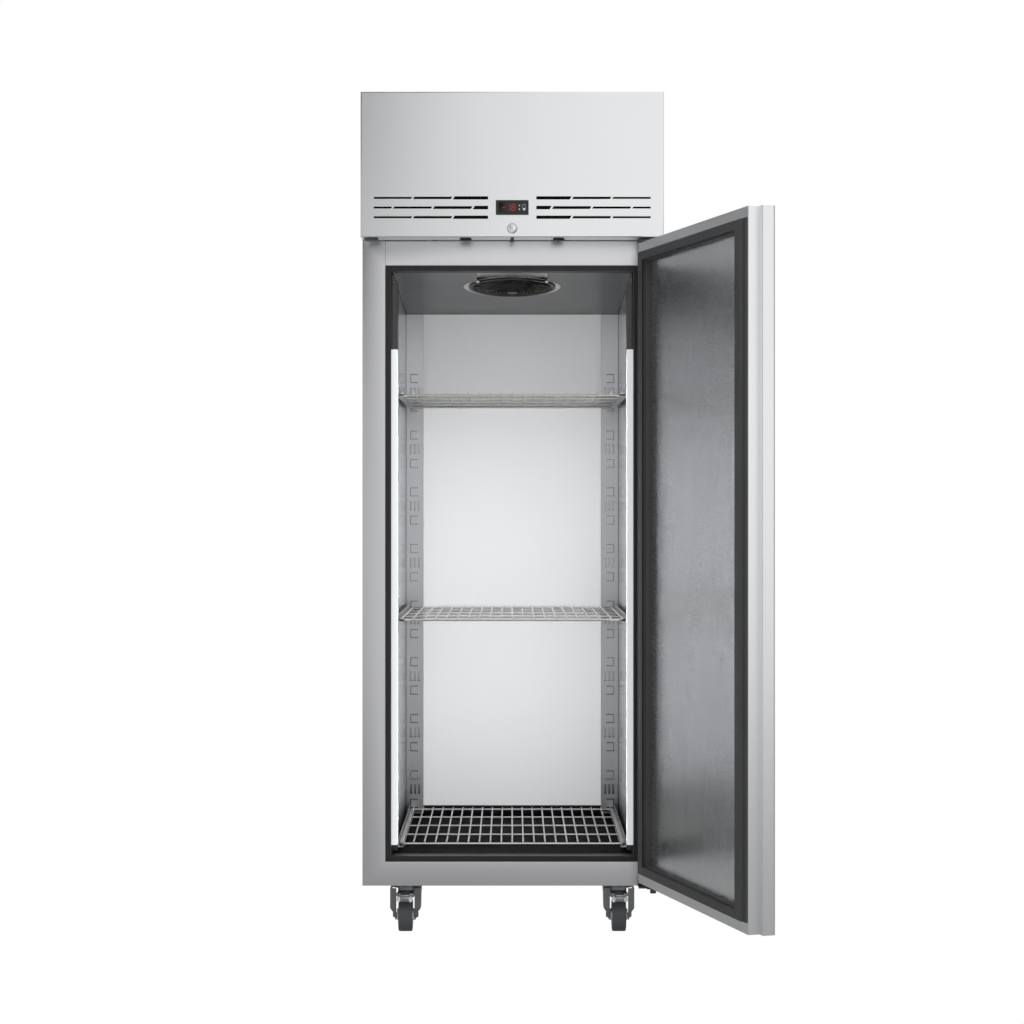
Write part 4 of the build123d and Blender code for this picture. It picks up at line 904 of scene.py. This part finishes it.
def make_compressor():
    """Hermetic pot with its weld seam, foot plate on rubber mounts, terminal cover and stubs."""
    spot = at(-257, 245, BODY_TOP)
    pot = Mould()
    profile = [(0, 10), (60, 10), (70, 14), (74, 22), (75, 34), (75, 92), (76.5, 94), (76.5, 99), (75, 101),
               (74.5, 128), (72, 144), (66, 158), (55, 169), (40, 176), (20, 179.5), (0, 180)]
    pot.lathe(profile, spot, 56)
    pot.block((-75, -60, 6), (75, 60, 10), 1.5, spot)
    for y in (-30, 30):
        pot.lathe([(6.5, 150), (6.5, 166), (5, 168), (5, 200)], spot @ at(27, y, 0), 20)
    pot.block((-76, -26, 60), (-58, 26, 118), 3, spot)
    pot.make("compressor_pot", "cabinet", "pot enamel", stands_for=["compressor"])
    mounts = Mould()
    for x in (-62, 62):
        for y in (-47, 47):
            mounts.lathe([(10, 0), (11, 2), (8, 6), (11, 10), (10, 13), (4, 13.5), (0, 16)],
                         spot @ at(x, y, 0), 24)
    mounts.make("compressor_mounts", "cabinet", "gasket rubber")


def make_sheet_screws():
    """Screws along the rear sheet, within the depth that it is set in."""
    screws = Mould()
    back = Matrix.Rotation(radians(-90), 4, "X")
    heights = (BODY_TOP + 14, BODY_TOP + 116, BODY_TOP + 220, HEIGHT - 14)
    spots = [(x, z) for x in (-338, 338) for z in heights]
    spots += [(x, z) for x in (-170, 0, 170) for z in (heights[0], heights[-1])]
    for x, z in spots:
        screws.screw(at(x, 767.9, z) @ back, 4.0, 1.9)
    screws.make("rear_sheet_screws", "cabinet", "bright zinc")


# Castors

def make_castors():
    """Wheels with tyre and core, the forks' raceways, webs and axle nuts, and the brake pedals."""
    for name, (x, y) in CASTORS.items():
        hub = at(x, y - CASTOR_OFFSET, WHEEL_Z) @ Matrix.Rotation(radians(90), 4, "Y")
        tyre = Mould()
        half = [(31.2, 15.8), (32.2, 16.4), (36.0, 16.5), (38.4, 16.0), (39.5, 14.9), (39.9, 13.0),
                (40, 8), (40, 0)]
        profile = half + [(r, -h) for r, h in reversed(half[:-1])]
        tyre.lathe(profile, hub, 72, False)
        tyre.loft([circle(31.2, -15.8, 72, hub), circle(31.2, 15.8, 72, hub)])
        tyre.make("castor_tyre_" + name, "wheel_" + name, "tyre rubber")
        core = Mould()
        half = [(4.1, 20.5), (12.8, 20.5), (13.8, 19.8), (14, 10), (15, 9.4), (28.8, 9.4), (29.6, 10),
                (29.8, 15.2), (30.2, 15.8), (31.2, 15.8)]
        core.lathe(half + [(r, -h) for r, h in reversed(half)], hub, 48, False)
        for n in range(6):
            spoke = hub @ Matrix.Rotation(2 * pi * n / 6, 4, "Z")
            for h in (9.2, -14.2):
                core.block((13, -1.4, h), (30, 1.4, h + 5), 0.5, spoke)
        core.make("castor_core_" + name, "wheel_" + name, "grey moulding",
                  stands_for=["castor_wheel_" + name])
        rings = Mould()
        swivel = at(x, y, 0)
        rings.lathe([(33, 119.2), (36.4, 119), (37, 117.6), (36.6, 116.2), (34.8, 115), (34.6, 112),
                     (36.4, 110.6), (36.9, 108.8), (36.3, 107), (33, 106)], swivel, 56, False)
        for side in (-1, 1):
            nut = hub @ at(0, 0, side * 24.6)
            flip = nut @ Matrix.Rotation(0 if side > 0 else pi, 4, "X")
            rings.lathe([(9.2, 0), (9.2, 1), (8.8, 1.2), (7.5, 1.2)], flip, 32, False)
            rings.lathe([(7.6, 1.1), (7.6, 4.4), (6.6, 5.3), (4.4, 5.4), (4.2, 5.9), (0, 6.2)], flip, 6)
        rings.block((x - 18.5, y - 19, 84), (x + 18.5, y - 16, 107), 0.6)
        rings.make("castor_race_" + name, "fork_" + name, "dull zinc")
        if not name.startswith("front"):
            continue
        pedal = Mould()
        pivot = at(x, y - CASTOR_OFFSET - 8, 88)
        barrel = pivot @ Matrix.Rotation(radians(90), 4, "Y")
        pedal.lathe([(3.1, -20), (6, -20), (6.5, -19.3), (6.5, 19.3), (6, 20), (3.1, 20)], barrel, 32)
        pedal.block((-10.5, -45, 2.6), (10.5, 0, 6.4), 1.4, pivot)
        pedal.block((-13.5, -50.5, -9), (13.5, -45.5, 2.4), 1.6, pivot)
        pedal.block((-10.5, -50.8, 1.2), (10.5, -44.5, 8), 1.8, pivot)
        pedal.block((-4, -42, 6), (4, -12, 7.6), 0.7, pivot)
        pedal.make("brake_lever_" + name, "pedal_" + name, "pedal zinc", stands_for=["brake_pedal_" + name])
        pads = Mould()
        for side in (-14.2, 14.2):
            spot = pivot @ at(side, -45, -3) @ FORWARD @ Matrix.Diagonal((0.85, 1.3, 1, 1))
            pads.lathe([(4.4, 0), (5.4, 0.3), (5.6, 1.2), (5.6, 4.4), (5.0, 5.4), (4, 5.9), (0, 6)], spot, 32)
        pads.make("brake_pads_" + name, "pedal_" + name, "mark white")


# Finishes of the pieces that come straight from the drawing

NODE_FINISHES = {
    "outer_casing": "casing steel", "machine_housing": "casing steel", "insulation_foam": "insulation",
    "inner_liner": "liner steel", "castor_plates": "dull zinc", "rear_air_panel": "rear panel lacquer",
    "rear_racks": "rack steel", "front_racks": "dark steel", "led_housings": "aluminium",
    "led_diffusers": "lit diffuser", "shelf_runners": "rack steel", "evaporator_cover": "shaded ceiling steel",
    "fan_ring": "ring steel", "evaporator_fan_motor": "pot enamel", "evaporator_coil": "aluminium",
    "evaporator_housing": "pale moulding", "condensate_tray": "galvanised sheet",
    "condenser_shroud": "galvanised sheet", "condenser_fan_motor": "pot enamel",
    "refrigerant_pipes": "copper", "electrical_box": "pale moulding",
    # The upper hinge bracket's dark steel is painted shade, for the shadow it sits in between the fascia and
    # the door
    "rear_grille": "galvanised sheet", "mains_gland": "breaker plastic", "upper_hinge_bracket": "dark steel",
    "lower_hinge_bracket": "dark steel", "controller_housing": "bezel gloss", "dust_filter": "filter fleece",
    "hinge_hole_plug": "smoke moulding", "lock_bolt": "dark steel", "door_outer_skin": "door steel",
    "door_foam": "insulation", "door_inner_panel": "door panel steel", "hinge_bushes": "bush bronze",
    "controller_key_left": "key grey", "controller_key_right": "key grey", "shelf_top": "shelf wire",
    "shelf_middle": "shelf wire", "shelf_bottom": "shelf wire",
}


def apply_finishes():
    """Gives each drawn piece its finish."""
    for name, node in frame["nodes"].items():
        chosen = NODE_FINISHES.get(name, "dull zinc")
        node.data.materials.clear()
        node.data.materials.append(finish(chosen))


# Studio

def aim(thing, target):
    """Turns a lamp towards a point."""
    thing.rotation_euler = (Vector(target) - thing.location).to_track_quat("-Z", "Y").to_euler()


def seen_directly(shader):
    """One for rays from the camera, a mirror or glass, else nought."""
    path = shader.node("LightPath")
    outputs = path.socket.node.outputs
    glossy = Wire(shader, outputs["Is Glossy Ray"])
    return shader.limit(path + glossy + Wire(shader, outputs["Is Transmission Ray"]))


def stage_plane(name, corners):
    """A flat piece of the studio."""
    mesh = bpy.data.meshes.new(name)
    mesh.from_pydata(corners, [], [range(len(corners))])
    material = bpy.data.materials.new(name)
    mesh.materials.append(material)
    plane = bpy.data.objects.new(name, mesh)
    bpy.context.scene.collection.objects.link(plane)
    return plane, Shader(material)


def grey_card(name, corners, tone):
    """A studio card that only shows in polished surfaces."""
    card, shader = stage_plane(name, corners)
    for ray in ("camera", "diffuse", "transmission", "volume_scatter", "shadow"):
        setattr(card, "visible_" + ray, False)
    glow = shader.node("Emission", sockets={"Color": (tone, tone, tone, 1), "Strength": 1.0})
    shader.node("OutputMaterial", sockets={"Surface": glow})


def area_lamp(name, shape, size, power):
    """A soft lamp that polished surfaces don't mirror."""
    lamp = bpy.data.lights.new(name, "AREA")
    lamp.shape = shape
    lamp.size = size
    lamp.energy = power
    holder = bpy.data.objects.new(name, lamp)
    holder.visible_glossy = False
    bpy.context.scene.collection.objects.link(holder)
    return holder


def make_stage():
    """White floor and surroundings, grey cards for the steel, soft lamps and the camera."""
    scene = bpy.context.scene
    scene.view_settings.view_transform = "Standard"
    world = bpy.data.worlds.new("studio")
    scene.world = world
    air = Shader(world)
    strength = seen_directly(air) * 0.45 + 0.55
    light = air.node("Background", sockets={"Color": (1, 1, 1, 1), "Strength": strength})
    air.node("OutputWorld", sockets={"Surface": light})

    reach = 30
    ground = stage_plane("floor", [(x, y, 0) for x, y in rectangle(-reach, -reach, reach, reach)])[1]
    matt = ground.node("BsdfDiffuse", sockets={"Color": (0.97, 0.97, 0.97, 1)})
    glow = ground.node("Emission", sockets={"Color": (1, 1, 1, 1), "Strength": 1.0})
    both = ground.node("MixShader", sockets={0: seen_directly(ground), 1: matt, 2: glow})
    ground.node("OutputMaterial", sockets={"Surface": both})

    front, back, top, near, post, far = -2.9, 4.0, 6.0, 0.003, 2.02, 5
    left, middle = -3.2, CABINET.translation.x
    for name, edge, low, high, tone in (("left card", middle - 0.47, post, top, 0.02),
                                        ("post card", middle - 0.36, 0, post, 0.56)):
        grey_card(name, [(x, front, z) for x, z in rectangle(left, low, edge, high)], tone)
    grey_card("floor card", [(x, y, near) for x, y in rectangle(-far, -far, far, back)], 0.32)
    for side in (-far, far):
        grey_card("side card", [(side, y, z) for y, z in rectangle(front, 0, back, top)], 0.4)

    lamps = (("high lamp", (1.6, -3.6, 4.2), 3.0, 60), ("left lamp", (-4.2, -2.2, 2.2), 2.6, 30),
             ("rear lamp", (1.5, 4.5, 3.5), 3.0, 50))
    for name, spot, size, power in lamps:
        holder = area_lamp(name, "DISK", size, power)
        holder.location = spot
        aim(holder, (0, 0, 1))
    # The left bar shines more strongly than the right one, as in the photograph
    bar_x, bar_y, bar_z, bar_wide, bar_tall = 266.5, 20, 798, 0.024, 1.15
    for side, power in ((-1, 5.8), (1, 3.8)):
        holder = area_lamp("bar lamp", "RECTANGLE", bar_wide, power)
        holder.data.size_y = bar_tall
        spot = CABINET @ Vector((side * bar_x, bar_y, bar_z))
        holder.matrix_world = Matrix.Translation(spot) @ Matrix.Rotation(radians(side * 50), 4, "Z") @ FORWARD
        holder.visible_camera = False

    eye = bpy.data.cameras.new("camera")
    eye.sensor_width = 36
    eye.lens = 79.75
    eye.shift_y = -0.002
    camera = bpy.data.objects.new("camera", eye)
    aside, distance, eye_height = 0.0005, 5.3, 1.002
    camera.location = (middle - aside, CABINET.translation.y - distance, eye_height)
    camera.rotation_euler = (radians(90), 0, 0)
    scene.collection.objects.link(camera)
    scene.camera = camera


# Add-on

def operator(task):
    """An operator that runs one making function, labelled by its name."""
    name = task.__name__
    label = name.split("_", 1)[1].replace("_", " ").capitalize()

    def execute(self, context):
        task()
        return {"FINISHED"}

    members = {"bl_idname": "freezer." + name, "bl_label": label, "bl_options": {"REGISTER", "UNDO"},
               "__doc__": task.__doc__, "execute": execute}
    return type("FREEZER_OT_" + name, (bpy.types.Operator,), members)


OPERATORS = [operator(task) for task in (
    make_stage, apply_finishes, make_fascia, make_controller, make_lock, make_thumb_screws, make_front_frame,
    make_breaker_strip, make_door_seal, make_door_joints, make_hinge_screws, make_fan_guard, make_fan_blades,
    make_condenser, make_compressor, make_sheet_screws, make_castors)]


class FREEZER_PT_pieces(bpy.types.Panel):
    """Lists the pieces of the freezer and what a user may change."""

    bl_label = "Freezer"
    bl_idname = "FREEZER_PT_pieces"
    bl_space_type = "VIEW_3D"
    bl_region_type = "UI"
    bl_category = "Freezer"

    def draw(self, context):
        for group in (context.scene.freezer_colours, context.scene.freezer_sizes):
            for name in group.__annotations__:
                self.layout.prop(group, name)
        for each in OPERATORS:
            self.layout.operator(each.bl_idname)


CLASSES = [FreezerColours, FreezerSizes, *OPERATORS, FREEZER_PT_pieces]


def register():
    for each in CLASSES:
        bpy.utils.register_class(each)
    bpy.types.Scene.freezer_colours = PointerProperty(type=FreezerColours)
    bpy.types.Scene.freezer_sizes = PointerProperty(type=FreezerSizes)


def unregister():
    del bpy.types.Scene.freezer_sizes
    del bpy.types.Scene.freezer_colours
    for each in reversed(CLASSES):
        bpy.utils.unregister_class(each)


def main():
    register()
    for each in OPERATORS:
        getattr(bpy.ops.freezer, each.bl_idname.split(".")[1])()


if __name__ == "__main__":
    main()
